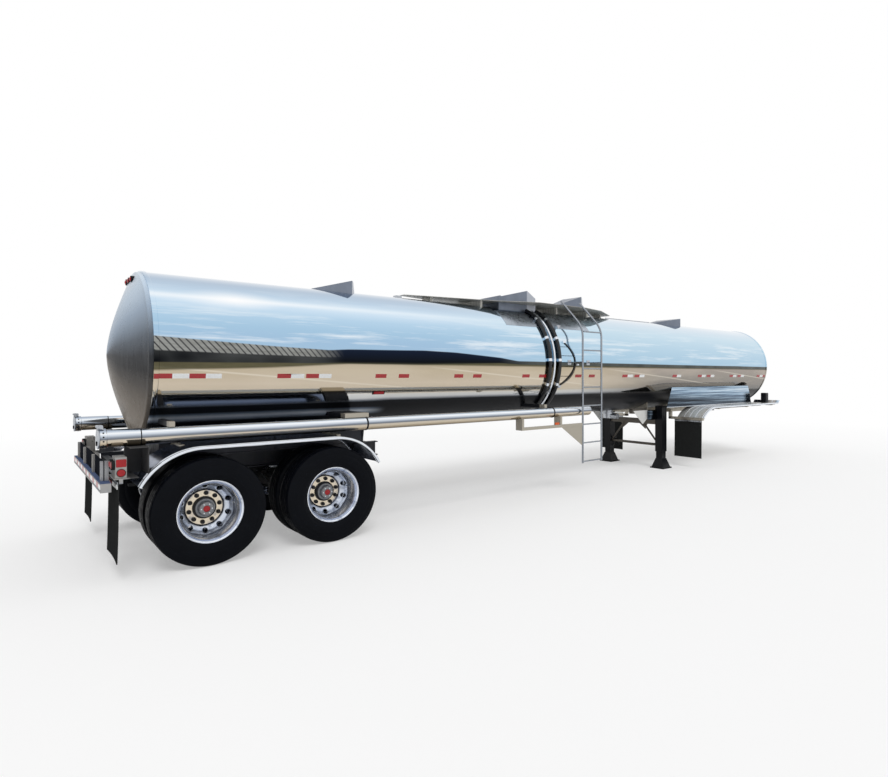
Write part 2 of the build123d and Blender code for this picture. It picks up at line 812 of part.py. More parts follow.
def make_suspension():
    """For one side: the hangers with their pivot pins, the trailing arms and the air springs."""
    hangers = []
    arms = []
    springs = []
    half = arm_width / 2
    arm_y = (-rail_y - half, -rail_y + half)
    past_y = (-rail_y - arm_width, -rail_y + arm_width)
    for axle in axles:
        pivot = axle + pivot_reach
        plates = []
        for low in (-rail_y - half - seat_gap - hanger_sheet, -rail_y + half + seat_gap):
            plates.append(slab_y(
                [(pivot - hanger_rear, rail_bottom_z), (pivot + hanger_front, rail_bottom_z),
                 (pivot + hanger_tip, pivot_z - hanger_tip_drop),
                 (pivot - hanger_tip, pivot_z - hanger_tip_drop)],
                (low, low + hanger_sheet)))
        pin_y = (-rail_y - half - hanger_sheet, -rail_y + half + hanger_sheet)
        hangers.append(plates[0] + plates[1] + rod_y(pivot_radius, pivot, pin_y, pivot_z))

        seat_x = axle - spring_reach - arm_half_saddle
        arm = slab_y(
            [(seat_x, spring_seat_z - spring_seat), (axle - arm_neck, spring_seat_z - spring_seat - 12),
             (axle - arm_half_saddle, axle_z - arm_drop), (axle + arm_half_saddle, axle_z - arm_drop),
             (axle + arm_neck, pivot_z - pivot_boss), (pivot, pivot_z - pivot_boss),
             (pivot, pivot_z + pivot_boss), (axle + arm_half_saddle + 30, axle_z + arm_rise),
             (axle - arm_half_saddle, axle_z + arm_rise), (axle - arm_neck + 10, spring_seat_z),
             (seat_x, spring_seat_z)],
            arm_y)
        arm = arm + rod_y(pivot_boss, pivot, arm_y, pivot_z)
        arm = arm - rod_y(pivot_radius + pin_gap, pivot, past_y, pivot_z)
        arm = arm - rod_y(axle_tube_radius + seat_gap, axle, past_y, axle_z)
        arms.append(arm)

        low = spring_seat_z + seat_gap
        high = rail_bottom_z - seat_gap
        x = axle - spring_reach
        spring = rod_z(spring_radius, x, -rail_y, (low + spring_foot, high - spring_cap))
        spring = spring + rod_z(spring_foot_radius, x, -rail_y, (low, low + spring_foot))
        springs.append(spring + rod_z(spring_cap_radius, x, -rail_y, (high - spring_cap, high)))
    return hangers, arms, springs


def make_axle(x):
    """One axle tube with its spindles and the brake spiders inside the drums."""
    tube_end = mount_y - axle_tube_setback
    axle = rod_y(axle_tube_radius, x, (-tube_end, tube_end), axle_z)
    axle = axle + rod_y(spindle_radius, x, (-mount_y - 50, mount_y + 50), axle_z)
    spider_y = (-mount_y + spider_setback - spider_length, -mount_y + spider_setback)
    spider = rod_y(drum_radius - drum_wall - 14, x, spider_y, axle_z)
    return axle + spider + mirrored(spider)


def make_chamber(x):
    """One brake chamber on its bracket ahead of the axle tube."""
    rear = x + chamber_setback
    chamber = rod_x(chamber_radius, (rear, rear + chamber_length), -chamber_y, axle_z + chamber_lift)
    half = chamber_bracket / 2
    bracket_z = (axle_z + chamber_lift - 58, axle_z + chamber_lift + 42)
    bracket = box((x + 20, rear), (-chamber_y - half, -chamber_y + half), bracket_z)
    room_y = (-chamber_y - chamber_bracket, -chamber_y + chamber_bracket)
    return chamber + (bracket - rod_y(axle_tube_radius + seat_gap, x, room_y, axle_z))


def make_wheels(x):
    """For the left end of one axle: the twin tyres, the two wheels as one piece, and the hub."""
    half = tyre_width / 2
    tread = tread_width / 2
    bead = rim_half_width - 4
    tyres = []
    for y in (outer_tyre_y, outer_tyre_y - dual_spacing):
        profile = []
        for side in (-1, 1):
            flank = [
                (rim_radius + seat_gap, y + side * bead), (bulge_radius, y + side * half),
                (shoulder_radius, y + side * (half - 5)),
                (tyre_radius - tread_drop, y + side * (tread + tread_shoulder)),
                (tyre_radius, y + side * tread),
            ]
            profile += flank if side < 0 else flank[::-1]
        tyres.append(turned_y(profile, x))

    outer = outer_tyre_y + rim_half_width
    inner = outer_tyre_y - rim_half_width
    face = mount_y + disc_thickness
    wheel = turned_y(
        [
            (rim_radius, outer), (rim_radius, outer - rim_flange),
            (barrel_radius + barrel_wall, outer - 2 * rim_flange),
            (barrel_radius + barrel_wall, inner + 2 * rim_flange), (rim_radius, inner + rim_flange),
            (rim_radius, inner), (rim_radius - flange_drop, inner),
            (hand_hole_circle + 30, mount_y + 16), (hand_hole_circle - 4, mount_y),
            (hub_radius, mount_y), (hub_radius, face), (hand_hole_circle, face),
            (barrel_radius - 4, inner + 35), (barrel_radius, outer - 14),
            (rim_radius - rim_flange, outer),
        ],
        x,
    )
    for number in range(hand_hole_count):
        turn = radians(360 / hand_hole_count * (number + 0.5))
        hole_x = x + hand_hole_circle * cos(turn)
        hole_z = axle_z + hand_hole_circle * sin(turn)
        wheel = wheel - rod_y(hand_hole_radius, hole_x, (mount_y - 60, mount_y + 90), hole_z)
    wheels = wheel + mirror(wheel, about=Plane.XZ.offset(-mount_y))

    back = mount_y - disc_thickness - seat_gap
    drum_inner = drum_radius - drum_wall
    drum_back = back - drum_shoulder - drum_length
    drum_floor = back - drum_shoulder - 8
    sleeve = spindle_radius + pin_gap
    sleeve_end = mount_y - 110
    cap_floor = mount_y + 56
    hub = turned_y(
        [
            (0, mount_y + hub_cap_reach), (hub_cap_radius - 10, mount_y + hub_cap_reach),
            (hub_cap_radius, mount_y + hub_cap_reach - drum_shoulder), (hub_cap_radius, cap_floor + 6),
            (hub_radius - seat_gap, mount_y + 45), (hub_radius - seat_gap, back),
            (drum_radius - drum_shoulder, back), (drum_radius, back - drum_shoulder),
            (drum_radius, drum_back), (drum_inner, drum_back), (drum_inner, drum_floor),
            (hub_sleeve_radius, drum_floor), (hub_sleeve_radius, sleeve_end),
            (sleeve, sleeve_end), (sleeve, cap_floor), (0, cap_floor),
        ],
        x,
    )
    return tyres, wheels, hub


def fender_room():
    """The room that the right rear fender's rear arc takes, down to its end."""
    drop = fender_arc - (fender_top_z - fender_end_z)
    run = sqrt(fender_arc ** 2 - drop ** 2)
    across = (-fender_outer_y - cut_past, -fender_inner_y + cut_past)
    centre_z = fender_top_z - fender_arc
    return rod_y(fender_arc + seat_gap, -fender_rear_reach + run, across, centre_z)


def make_bumper():
    """The rear bumper with its posts, apron and uprights, and the brackets for lamps and flaps."""
    rear = -bumper_rear
    front = rear + bumper_depth
    low = bumper_top_z - bumper_height
    beam = box((rear, front), (-bumper_half_width, bumper_half_width), (low, bumper_top_z))
    apron_x = (front - apron_setback, front - apron_setback + apron_sheet)
    beam = beam + box(apron_x, (-upright_y, upright_y), (bumper_top_z, upright_top_z))

    rail_end = -rail_rear_overhang - seat_gap
    stub = box((front, rail_end), (-rail_outer_y, -rail_inner_y), (low, bumper_top_z))
    for y in (-upright_y, -post_y):
        upright_x = (front - upright_width, front)
        upright_y_range = (y - upright_width / 2, y + upright_width / 2)
        stub = stub + box(upright_x, upright_y_range, (bumper_top_z, upright_top_z))

    bar_x = (flap_bar_x - flap_bar_depth, flap_bar_x)
    side = box(bar_x, (-shelf_outer_y, -rail_inner_y), (shelf_z - flap_bar_height, shelf_z))
    shelf_top = shelf_z + shelf_sheet
    shelf_y = (-shelf_outer_y, -shelf_inner_y)
    side = side + box((-shelf_rear, -shelf_front), shelf_y, (shelf_z, shelf_top))
    box_y = (-lamp_box_outer_y, -lamp_box_inner_y)
    lamp_box_x = (-lamp_box_rear, -lamp_box_rear + lamp_box_depth)
    side = side + box(lamp_box_x, box_y, (shelf_top, lamp_box_top_z))

    pocket_x = (-pocket_rear, -pocket_front)
    pocket_z = (shelf_z, pocket_top_z)
    pocket = box(pocket_x, (-shelf_inner_y - pocket_sheet, -shelf_inner_y), pocket_z)
    pocket = pocket + box(pocket_x, shelf_y, (pocket_top_z - pocket_sheet, pocket_top_z))
    front_x = (-pocket_front - pocket_sheet, -pocket_front)
    pocket = pocket + box(front_x, shelf_y, pocket_z)
    side = side + (pocket - fender_room())
    return beam + stub + mirrored(stub) + side + mirrored(side)


def make_lamps():
    """The tail lamps, the side lamps beside them, the rear marker row and the side bar's marker."""
    face = -lamp_box_rear
    tail_x = (face - tail_lamp_length, face - seat_gap)
    tail = [rod_x(tail_lamp_radius, tail_x, -y, tail_lamp_z) for y in tail_lamp_ys]
    side_y = (-lamp_box_outer_y - side_lamp_thickness, -lamp_box_outer_y - seat_gap)
    middle = face + lamp_box_depth / 2
    disc = rod_y(side_lamp_radius, middle, side_y, side_lamp_z)
    bar_x = (face + side_bar_lamp_inset, face + lamp_box_depth - side_bar_lamp_inset)
    bar = box(bar_x, side_y, side_bar_lamp_z)
    pairs = [lamp for one in tail + [disc, bar] for lamp in both(one)]
    top = bar_low_z + bar_height + seat_gap
    marker_x = (ladder_x - bar_lamp_reach, ladder_x - bar_lamp_reach + bar_lamp_length)
    marker_y = (-ladder_y - bar_half_depth, -ladder_y + bar_half_depth)
    marker = box(marker_x, marker_y, (top, top + bar_lamp_height))
    return pairs + make_head_lamps() + [marker]


def make_flaps():
    """The rear flaps on their bar and the front flaps under their beams."""
    rear_face = flap_bar_x - flap_bar_depth - seat_gap
    rear_y = (-flap_outer_y, -flap_outer_y + flap_width)
    rear = box((rear_face - flap_sheet, rear_face), rear_y, (flap_bottom_z, flap_top_z))
    x = leg_x + flap_beam_reach + front_flap_inset
    front_y = (-front_flap_outer_y, -front_flap_outer_y + flap_width)
    front = box((x, x + flap_sheet), front_y, (front_flap_bottom_z, flap_beam_z - seat_gap))
    return both(rear) + both(front)


def make_leg():
    """One landing leg: the sleeve, the inner leg and the flared foot."""
    def block(half, low, high):
        return box((leg_x - half, leg_x + half), (-leg_y - half, -leg_y + half), (low, high))

    sleeve = block(leg_width / 2, leg_sleeve_z, leg_top_z)
    core = block(inner_leg_width / 2, foot_height, leg_sleeve_z)
    sole = block(foot_width / 2, 0, foot_sole)
    low_side = foot_width - flare_inset
    high_side = inner_leg_width + flare_margin
    low = Pos(at(leg_x), -leg_y, foot_sole) * Rectangle(low_side, low_side)
    high = Pos(at(leg_x), -leg_y, foot_height) * Rectangle(high_side, high_side)
    return sleeve + core + sole + loft([low, high])


def make_bracing():
    """The beam, the cross tube, the two diagonals and their gussets between the landing legs."""
    half = leg_width / 2
    inner_y = leg_y - half
    beam_x = (leg_x - brace_half_depth, leg_x + brace_half_depth)
    brace = box(beam_x, (-inner_y, inner_y), (beam_z, beam_z + beam_height))
    brace = brace + rod_y(brace_tube_radius, leg_x, (-inner_y, inner_y), brace_z)
    for side in (-1, 1):
        foot = (leg_x, side * (inner_y + diagonal_foot_inset), brace_z + diagonal_sink / 2)
        head = (leg_x, side * diagonal_head_y, beam_z + diagonal_sink)
        brace = brace + rod_between(diagonal_radius, foot, head)
        middle = side * diagonal_head_y
        corners = [
            (middle - gusset_half_width, beam_z), (middle + gusset_half_width, beam_z),
            (middle + side * gusset_half_width / 2, beam_z - gusset_drop),
        ]
        brace = brace + slab_x(corners, (leg_x - gusset_sheet / 2, leg_x + gusset_sheet / 2))
    for side in (-1, 1):
        low_y = side * leg_y - half
        brace = brace - box((leg_x - half, leg_x + half), (low_y, low_y + leg_width), (0, leg_top_z))
    return brace


def make_crank():
    """The gearbox on the left leg with its hanging crank."""
    face = leg_x + leg_width / 2
    shaft_x = face + gearbox_depth / 2
    arm_y = gearbox_inner_y - crank_reach + 70
    low_z = crank_z - crank_drop
    crank = box((face, face + gearbox_depth), (gearbox_inner_y, gearbox_outer_y), gearbox_z)
    crank = crank + rod_y(crank_radius, shaft_x, (arm_y, gearbox_inner_y), crank_z)
    crank = crank + rod_z(crank_radius, shaft_x, arm_y, (low_z, crank_z))
    crank = crank + rod_y(crank_radius, shaft_x, (arm_y - crank_grip, arm_y), low_z)
    for z in (low_z, crank_z):
        crank = crank + Pos(at(shaft_x), arm_y, z) * Sphere(crank_radius)
    return crank


def make_coupler():
    """The front rails with their cradles, the coupler plate and the nose box."""
    low = coupler_low_z
    high = coupler_top_z
    rail = box((coupler_rear, coupler_front), (-rail_outer_y, -rail_inner_y), (low, high))
    ear_x = (leg_x - leg_ear_half, leg_x + leg_ear_half)
    ear = box(ear_x, (-leg_y + leg_width / 2, -rail_outer_y), (low, high))
    side = rail + ear
    frame = side + mirrored(side)
    plate_x = (kingpin_x - plate_reach, coupler_front)
    frame = frame + box(plate_x, (-rail_outer_y, rail_outer_y), (coupler_plate_z, low))
    half = saddle_half_width
    ends = (coupler_rear, coupler_front - cradle_sheet)
    for x in ends + tuple(coupler_rear + reach for reach in cradle_reaches):
        frame = frame + (box((x, x + cradle_sheet), (-half, half), (low, saddle_top_z)) - tank_room())
    nose_x = (coupler_front, coupler_front + nose_depth)
    nose_y = (-nose_half_width, nose_half_width)
    return frame + (box(nose_x, nose_y, (low, saddle_top_z)) - tank_room(band_height))


def make_kingpin():
    """The kingpin with its lower flange."""
    low = coupler_plate_z - kingpin_length
    pin = rod_z(kingpin_radius, kingpin_x, 0, (low, coupler_plate_z))
    return pin + rod_z(kingpin_foot_radius, kingpin_x, 0, (low, low + kingpin_foot))


def make_front_fender():
    """One front fender with its lip, its ribs, its bars to the coupler rail and its upturned tip."""
    drop = deck_arc - (deck_z - deck_end_z)
    run = sqrt(deck_arc ** 2 - drop ** 2)
    turn = degrees(atan2(drop, run))
    centres = (deck_rear + run, deck_front)
    sheet_y = (-deck_outer_y, -deck_inner_y)
    lip_y = (-deck_outer_y, -deck_outer_y + lip_width)
    deck = arc_band(centres, deck_arc, deck_z, 180 - turn, 90, fender_sheet, sheet_y)
    deck = deck + arc_band(centres, deck_arc, deck_z, 180 - turn, 90, fender_lip, lip_y)
    rib_arc = deck_arc + deck_rib_height
    rib_sheet = deck_rib_height + fender_sheet / 2
    for y in deck_rib_ys:
        rib_y = (-y, -y + deck_rib_width)
        rib_ends = (centres[0], centres[0] + deck_rib_width)
        rib = arc_band(rib_ends, rib_arc, deck_z + deck_rib_height, 180 - turn, 90, rib_sheet, rib_y)
        deck = deck + rib
    under = deck_z - fender_sheet
    for reach in deck_bar_reaches:
        x = deck_rear + reach
        bar = box((x, x + fender_bar), (-deck_bar_y, -rail_outer_y), (under - fender_bar, under))
        deck = deck + bar
    edge = deck_front - fender_sheet
    tip = slab_y(
        [(edge, deck_z - fender_sheet), (deck_front, deck_z - fender_sheet),
         (deck_front + tip_length, deck_z + tip_length),
         (deck_front + tip_length - fender_sheet, deck_z + tip_length), (edge, deck_z)],
        sheet_y)
    box_rear = deck_front - deck_box_rear
    deck_box_y = (-deck_box_outer_y, -deck_box_inner_y)
    deck_box_z = (deck_z, deck_z + deck_box_height)
    deck_box = box((box_rear, box_rear + deck_box_length), deck_box_y, deck_box_z)
    return deck + tip + deck_box


def make_flap_beam():
    """The beam that holds one front mud flap, with its drop bracket on the coupler rail."""
    rear = leg_x + flap_beam_reach
    x = (rear, rear + flap_beam_depth)
    beam = box(x, (-deck_outer_y, -rail_outer_y), (flap_beam_z, flap_beam_z + flap_beam_height))
    drop_y = (-rail_outer_y - flap_beam_depth, -rail_outer_y)
    return beam + box(x, drop_y, (flap_beam_z, coupler_low_z + flap_beam_depth))


def make_skirt():
    """One bright side skirt, standing on the front fender's deck and reaching up to the shell."""
    rear = deck_rear + skirt_rear_reach
    front = deck_front - skirt_front_reach
    low = deck_z + seat_gap
    return slab_y(
        [(rear, low), (front, low), (front - skirt_front_slope, skirt_top_z),
         (rear + skirt_rear_slope, skirt_top_z)],
        (-skirt_y - skirt_sheet, -skirt_y))


def make_outlet():
    """The belly outlet: a valve body with its flange and a capped stub to the right."""
    x = leg_x - outlet_reach
    body = rod_z(outlet_radius, x, 0, (outlet_bottom_z, tank_bottom_z + 30)) - tank_room()
    flange_z = (tank_bottom_z - 65, tank_bottom_z - 65 + outlet_flange)
    body = body + rod_z(outlet_flange_radius, x, 0, flange_z)
    return body + rod_y(outlet_stub_radius, x, (-outlet_stub_reach, 0), outlet_stub_z)


def main():
    os.makedirs("parts", exist_ok=True)
    shell, rear_head, front_head = make_tank()
    write("tank_shell", shell)
    write("rear_head", rear_head)
    write("front_head", front_head)
    guards, spill, deck, fittings = make_top()
    write("overturn_guards", guards)
    write("spill_box", spill)
    write("walkway", deck)
    write("top_fittings", fittings)
    write("drain_hoses", [side_line(hose_radius, manhole_x + reach) for reach in hose_reaches])
    write("drain_pipe", side_line(drain_pipe_radius, manhole_x + drain_pipe_reach))
    collar, lid = make_manhole()
    write("manhole_collar", collar)
    write("manhole_lid", lid)
    rails, rungs = make_ladder()
    write("ladder_rails", rails)
    write("ladder_rungs", rungs)
    tube, door = make_tube()
    write("hose_tube_right", tube)
    write("hose_tube_left", mirrored(tube))
    write("tube_door_right", door)
    write("tube_door_left", mirrored(door))
    hangers = make_tube_brackets()
    write("tube_brackets", hangers + [mirrored(one) for one in hangers] + [make_side_bar()])
    write("subframe", make_subframe())
    write("air_tank", make_air_tank())
    write("rear_fenders", both(make_rear_fender()))
    pivots, arms, springs = make_suspension()
    write("suspension_hangers", pivots + [mirrored(one) for one in pivots])
    write("trailing_arms", arms + [mirrored(one) for one in arms])
    write("air_springs", springs + [mirrored(one) for one in springs])
    write("axles", [make_axle(x) for x in axles])
    chambers = [make_chamber(x) for x in axles]
    write("brake_chambers", chambers + [mirrored(one) for one in chambers])
    for place, x in (("rear", axles[0]), ("front", axles[1])):
        tyres, wheels, hub = make_wheels(x)
        write(f"tyres_{place}_left", tyres)
        write(f"tyres_{place}_right", [mirrored(one) for one in tyres])
        write(f"wheels_{place}_left", wheels)
        write(f"wheels_{place}_right", mirrored(wheels))
        write(f"hub_{place}_left", hub)
        write(f"hub_{place}_right", mirrored(hub))
    write("rear_bumper", make_bumper())
    write("lamps", make_lamps())
    write("mud_flaps", make_flaps())
    write("landing_legs", both(make_leg()))
    write("leg_bracing", make_bracing())
    write("leg_crank", make_crank())
    write("upper_coupler", make_coupler())
    write("kingpin", make_kingpin())
    write("front_fenders", both(make_front_fender()) + both(make_flap_beam()))
    write("front_skirts", both(make_skirt()))
    write("belly_outlet", make_outlet())


main()
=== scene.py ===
"""Tanker semi-trailer: its surfaces and finishes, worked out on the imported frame, in metres."""

import json

import bmesh
import bpy
import numpy as np
from bpy.props import FloatProperty, FloatVectorProperty, IntProperty, PointerProperty
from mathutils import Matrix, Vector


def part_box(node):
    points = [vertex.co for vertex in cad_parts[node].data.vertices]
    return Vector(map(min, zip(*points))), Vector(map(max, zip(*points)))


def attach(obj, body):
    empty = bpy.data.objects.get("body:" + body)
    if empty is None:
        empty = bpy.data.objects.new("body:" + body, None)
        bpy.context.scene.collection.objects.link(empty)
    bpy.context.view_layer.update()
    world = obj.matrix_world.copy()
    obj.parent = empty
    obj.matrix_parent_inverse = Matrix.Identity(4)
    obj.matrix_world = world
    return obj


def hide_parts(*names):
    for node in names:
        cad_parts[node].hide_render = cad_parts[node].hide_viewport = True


bl_info = {
    "name": "Tanker Semi-Trailer",
    "version": (1, 0, 0),
    "blender": (4, 5, 0),
    "location": "3D Viewport > Sidebar > Trailer",
    "description": "Builds a polished tanker semi-trailer's surfaces and finishes on its frame",
    "category": "Add Mesh",
}

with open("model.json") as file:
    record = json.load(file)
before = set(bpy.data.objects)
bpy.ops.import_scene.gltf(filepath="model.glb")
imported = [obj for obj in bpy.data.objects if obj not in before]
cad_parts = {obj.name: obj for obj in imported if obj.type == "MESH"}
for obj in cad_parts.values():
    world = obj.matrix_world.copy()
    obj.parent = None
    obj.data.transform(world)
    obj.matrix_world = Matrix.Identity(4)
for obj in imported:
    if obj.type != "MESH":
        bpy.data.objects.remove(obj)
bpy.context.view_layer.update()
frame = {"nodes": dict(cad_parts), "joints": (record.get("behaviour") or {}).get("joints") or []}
JOINTS = {joint["name"]: joint["pos_m"] for joint in frame["joints"]}
REAR_AXLE = JOINTS["wheel_rear_right_spin"][0]
FRONT_AXLE = JOINTS["wheel_front_right_spin"][0]
AXLE_HEIGHT = JOINTS["wheel_rear_right_spin"][2]
MOUNT_Y = abs(JOINTS["wheel_rear_right_spin"][1])
FINISHES = {}


# Sizes and colours

def length(name, description, default):
    """A size in metres for a PropertyGroup."""
    return FloatProperty(name=name, description=description, default=default, unit="LENGTH", precision=4)


def amount(name, description, default):
    """A plain number for a PropertyGroup."""
    return FloatProperty(name=name, description=description, default=default, min=0.0)


def colour(name, description, default):
    """A colour for a PropertyGroup, given as the screen shows it, each part from 0 to 255."""
    return FloatVectorProperty(name=name, description=description, subtype="COLOR", size=4, min=0.0, max=1.0,
                               default=linear(default))


def linear(shade):
    """Screen colour to linear light: c/12.92 where dark, and ((c + 0.055)/1.055)^2.4 elsewhere."""
    part = np.asarray(shade, float) / 255
    light = np.where(part <= 0.04045, part / 12.92, ((part + 0.055) / 1.055) ** 2.4)
    return tuple(float(value) for value in light) + (1.0,)


class TankSizes(bpy.types.PropertyGroup):
    """The tank, its tape and what lies along it."""

    radius: length("Shell Radius", "Radius of the polished jacket", 0.900)
    height: length("Axis Height", "Height of the tank's axis above the ground", 2.050)
    rear: length("Rear End", "Rear end of the jacket, ahead of the rear axle", -0.420)
    front: length("Front End", "Front end of the jacket, ahead of the rear axle", 12.500)
    rear_head: length("Rear Head Depth", "How far the rear head stands out", 0.290)
    front_head: length("Front Head Depth", "How far the front head stands out", 0.350)
    band: length("Rim Band Width", "Width of the rolled band at each end", 0.045)
    tape_height: length("Tape Height", "Height of the marking tape above the ground", 1.829)
    tape_width: length("Tape Width", "Width of the marking tape", 0.050)
    tube_radius: length("Hose Tube Radius", "Radius of a hose tube", 0.076)
    tube_height: length("Hose Tube Height", "Height of a hose tube's axis", 1.270)
    tube_side: length("Hose Tube Side", "Distance of a hose tube's axis from the centre line", 1.080)


class WheelSizes(bpy.types.PropertyGroup):
    """The twin wheels and tyres."""

    tyre_radius: length("Tyre Radius", "Radius over the tread", 0.522)
    tyre_width: length("Tyre Width", "Width of one tyre", 0.278)
    rim_radius: length("Rim Radius", "Radius of the rim's flange", 0.302)
    tyre_side: length("Outer Tyre Side", "Distance of the outer tyre's middle from the centre line", 1.152)
    spacing: length("Twin Spacing", "Distance between the twin tyres", 0.343)
    holes: IntProperty(name="Hand Holes", description="Holes round each wheel's disc", default=10, min=3)
    nuts: IntProperty(name="Wheel Nuts", description="Nuts round each hub", default=10, min=3)


class FinishColours(bpy.types.PropertyGroup):
    """The colours of the plain finishes."""

    bare_metal: colour("Bare Metal", "Hangers, brackets and bars", (172, 166, 154))
    # darkened as painted shade: the frame under the tank gets a darker colour than its metal has
    frame_metal: colour("Frame Metal", "Subframe and leg bracing, in the tank's shade", (86, 81, 75))
    bright_sheet: colour("Bright Sheet", "Fenders and skirts", (226, 231, 238))
    guard_grey: colour("Guard Grey", "Overturn guards and the spill box", (128, 136, 150))
    chassis_black: colour("Chassis Black", "Landing legs and black fittings", (14, 15, 19))
    axle_black: colour("Axle Black", "Axles, arms and brake chambers", (34, 35, 38))
    rubber: colour("Rubber", "Tyres, flaps and hoses", (7, 9, 14))
    hub_grey: colour("Hub Grey", "Hubs and drums", (128, 129, 131))
    lens_red: colour("Red Lens", "Red lamps and red tape", (160, 12, 22))
    lens_amber: colour("Amber Lens", "Amber lamps", (214, 88, 20))
    tape_white: colour("White Tape", "White marking tape", (226, 228, 228))
    floor: colour("Floor", "Studio floor", (252, 252, 252))


class StageSettings(bpy.types.PropertyGroup):
    """The studio."""

    floor_size: length("Floor Size", "Half the width of the floor", 120.0)
    ahead: length("Camera Place", "Camera's place ahead of the rear axle", -1.533)
    side: length("Camera Side", "Camera's distance from the centre line, to the right", 7.276)
    eye: length("Camera Height", "Camera's height above the ground", 1.830)
    sky_light: amount("Sky Light", "Light of the pale surroundings", 0.72)
    lamp_light: amount("Lamp Light", "Light of the soft sun lamp", 1.15)
    focal: amount("Focal Length", "The camera's focal length, in millimetres of a 36 mm frame", 23.45)
    turn: amount("Camera Turn", "How far the camera looks forward from square on, in degrees", 40.57)


# Surfaces

def ahead(distance):
    """Place along the trailer of a distance ahead of the rear axle: x = axle + distance."""
    return REAR_AXLE + distance


def grid(points, round_u=False, round_v=False):
    """Points P(u, v) in rows and columns; each cell of the grid is a four-sided face."""
    rows, columns = points.shape[:2]
    index = np.arange(rows * columns).reshape(rows, columns)
    if round_u:
        index = np.concatenate([index, index[:1]])
    if round_v:
        index = np.concatenate([index, index[:, :1]], axis=1)
    cells = [index[:-1, :-1], index[1:, :-1], index[1:, 1:], index[:-1, 1:]]
    return points.reshape(-1, 3), np.stack(cells, axis=-1).reshape(-1, 4)


def turned(profile, axis, centre, steps=72, ring=False):
    """A profile (along, radius) turned round an axis: P = centre + along·axis + radius·(cos t, sin t)."""
    along, radius = np.asarray(profile, float).T
    turn = np.linspace(0, 2 * np.pi, steps, endpoint=False)
    far = np.repeat(along[:, None], steps, axis=1)
    flat = radius[:, None] * np.cos(turn)
    up = radius[:, None] * np.sin(turn)
    places = {"x": (far, flat, up), "y": (flat, far, up), "z": (flat, up, far)}[axis]
    return grid(np.stack(places, axis=-1) + np.asarray(centre, float), round_u=ring, round_v=True)


def carried(path, section, side):
    """A closed section (a, b) carried along a path: P = path + a·across + b·up, with up = way × across."""
    path = np.asarray(path, float)
    section = np.asarray(section, float)
    way = np.gradient(path, axis=0)
    way = way / np.linalg.norm(way, axis=1, keepdims=True)
    side = np.asarray(side, float)
    across = side - (way @ side)[:, None] * way
    across = across / np.linalg.norm(across, axis=1, keepdims=True)
    up = np.cross(way, across)
    points = path[:, None] + section[None, :, :1] * across[:, None] + section[None, :, 1:] * up[:, None]
    middles = points.mean(axis=1, keepdims=True).repeat(len(section), axis=1)
    return grid(np.concatenate([middles[:1], points, middles[-1:]]), round_v=True)


def circle(radius, steps=12):
    """A round section: (r·cos t, r·sin t)."""
    turn = np.linspace(0, 2 * np.pi, steps, endpoint=False)
    return radius * np.stack([np.cos(turn), np.sin(turn)], axis=-1)


def rounded(outline, radius, steps=4, closed=True):
    """Each corner becomes an arc: (1-t)²·before + 2t(1-t)·corner + t²·after."""
    corner = np.asarray(outline, float)
    back = np.roll(corner, 1, axis=0) - corner
    on = np.roll(corner, -1, axis=0) - corner
    before = corner + radius * back / np.linalg.norm(back, axis=1, keepdims=True)
    after = corner + radius * on / np.linalg.norm(on, axis=1, keepdims=True)
    t = np.linspace(0, 1, steps)[None, :, None]
    arcs = (1 - t) ** 2 * before[:, None] + 2 * t * (1 - t) * corner[:, None] + t ** 2 * after[:, None]
    if closed:
        return arcs.reshape(-1, corner.shape[1])
    return np.concatenate([corner[:1], arcs[1:-1].reshape(-1, corner.shape[1]), corner[-1:]])


def slab(outline, low, high, axis, bevel=0.004):
    """An outline carried from low to high, drawn in by the bevel at both ends and closed to its middle."""
    outline = np.asarray(outline, float)
    middle = outline.mean(axis=0)
    inward = middle - outline
    small = outline + bevel * inward / np.linalg.norm(inward, axis=1, keepdims=True)
    centre = np.repeat(middle[None], len(outline), axis=0)
    flat = np.stack([centre, small, outline, outline, small, centre])
    levels = np.array([low, low, low + bevel, high - bevel, high, high])
    level = np.repeat(levels[:, None], len(outline), axis=1)
    a, b = flat[..., 0], flat[..., 1]
    places = {"x": (level, a, b), "y": (a, level, b), "z": (a, b, level)}[axis]
    return grid(np.stack(places, axis=-1), round_v=True)


def rectangle(low, high, corner, steps=4):
    """A rounded rectangle between its lowest and its highest corner."""
    return rounded([low, (high[0], low[1]), high, (low[0], high[1])], corner, steps)


def block(low, high, corner=0.006):
    """A box with rounded edges: a rounded rectangle carried from its lowest to its highest level."""
    bevel = min(corner, 0.4 * (high[2] - low[2]))
    return slab(rectangle(low[:2], high[:2], corner), low[2], high[2], "z", bevel)


def on_shell(place, turn, radius):
    """Points round the tank at one place: P = (place, -r·cos t, axis + r·sin t)."""
    height = bpy.context.scene.trailer_tank.height
    places = np.broadcast_arrays(place, -radius * np.cos(turn), height + radius * np.sin(turn))
    return np.stack(places, axis=-1)


def sheet_on_shell(x, turn, radius, thickness, steps=(2, 8)):
    """A plate bent on the tank between two angles: the points of on_shell on two radii, ends closed."""
    along = np.linspace(x[0], x[1], steps[0])
    bend = np.radians(np.linspace(turn[0], turn[1], steps[1]))
    loop = np.concatenate([bend, bend[::-1]])
    deep = np.repeat([radius + thickness, radius], steps[1])
    points = on_shell(along[:, None], loop, deep)
    half = steps[1]
    ends = [grid(np.stack([row[:half], row[half:][::-1]])) for row in (points[0], points[-1])]
    return joined([grid(points, round_v=True)] + ends)


def joined(surfaces):
    """Several surfaces as one: their points in a row, their faces' numbers moved on."""
    counts = np.cumsum([0] + [len(points) for points, faces in surfaces[:-1]])
    points = np.concatenate([points for points, faces in surfaces])
    return points, np.concatenate([faces + start for (_, faces), start in zip(surfaces, counts)])


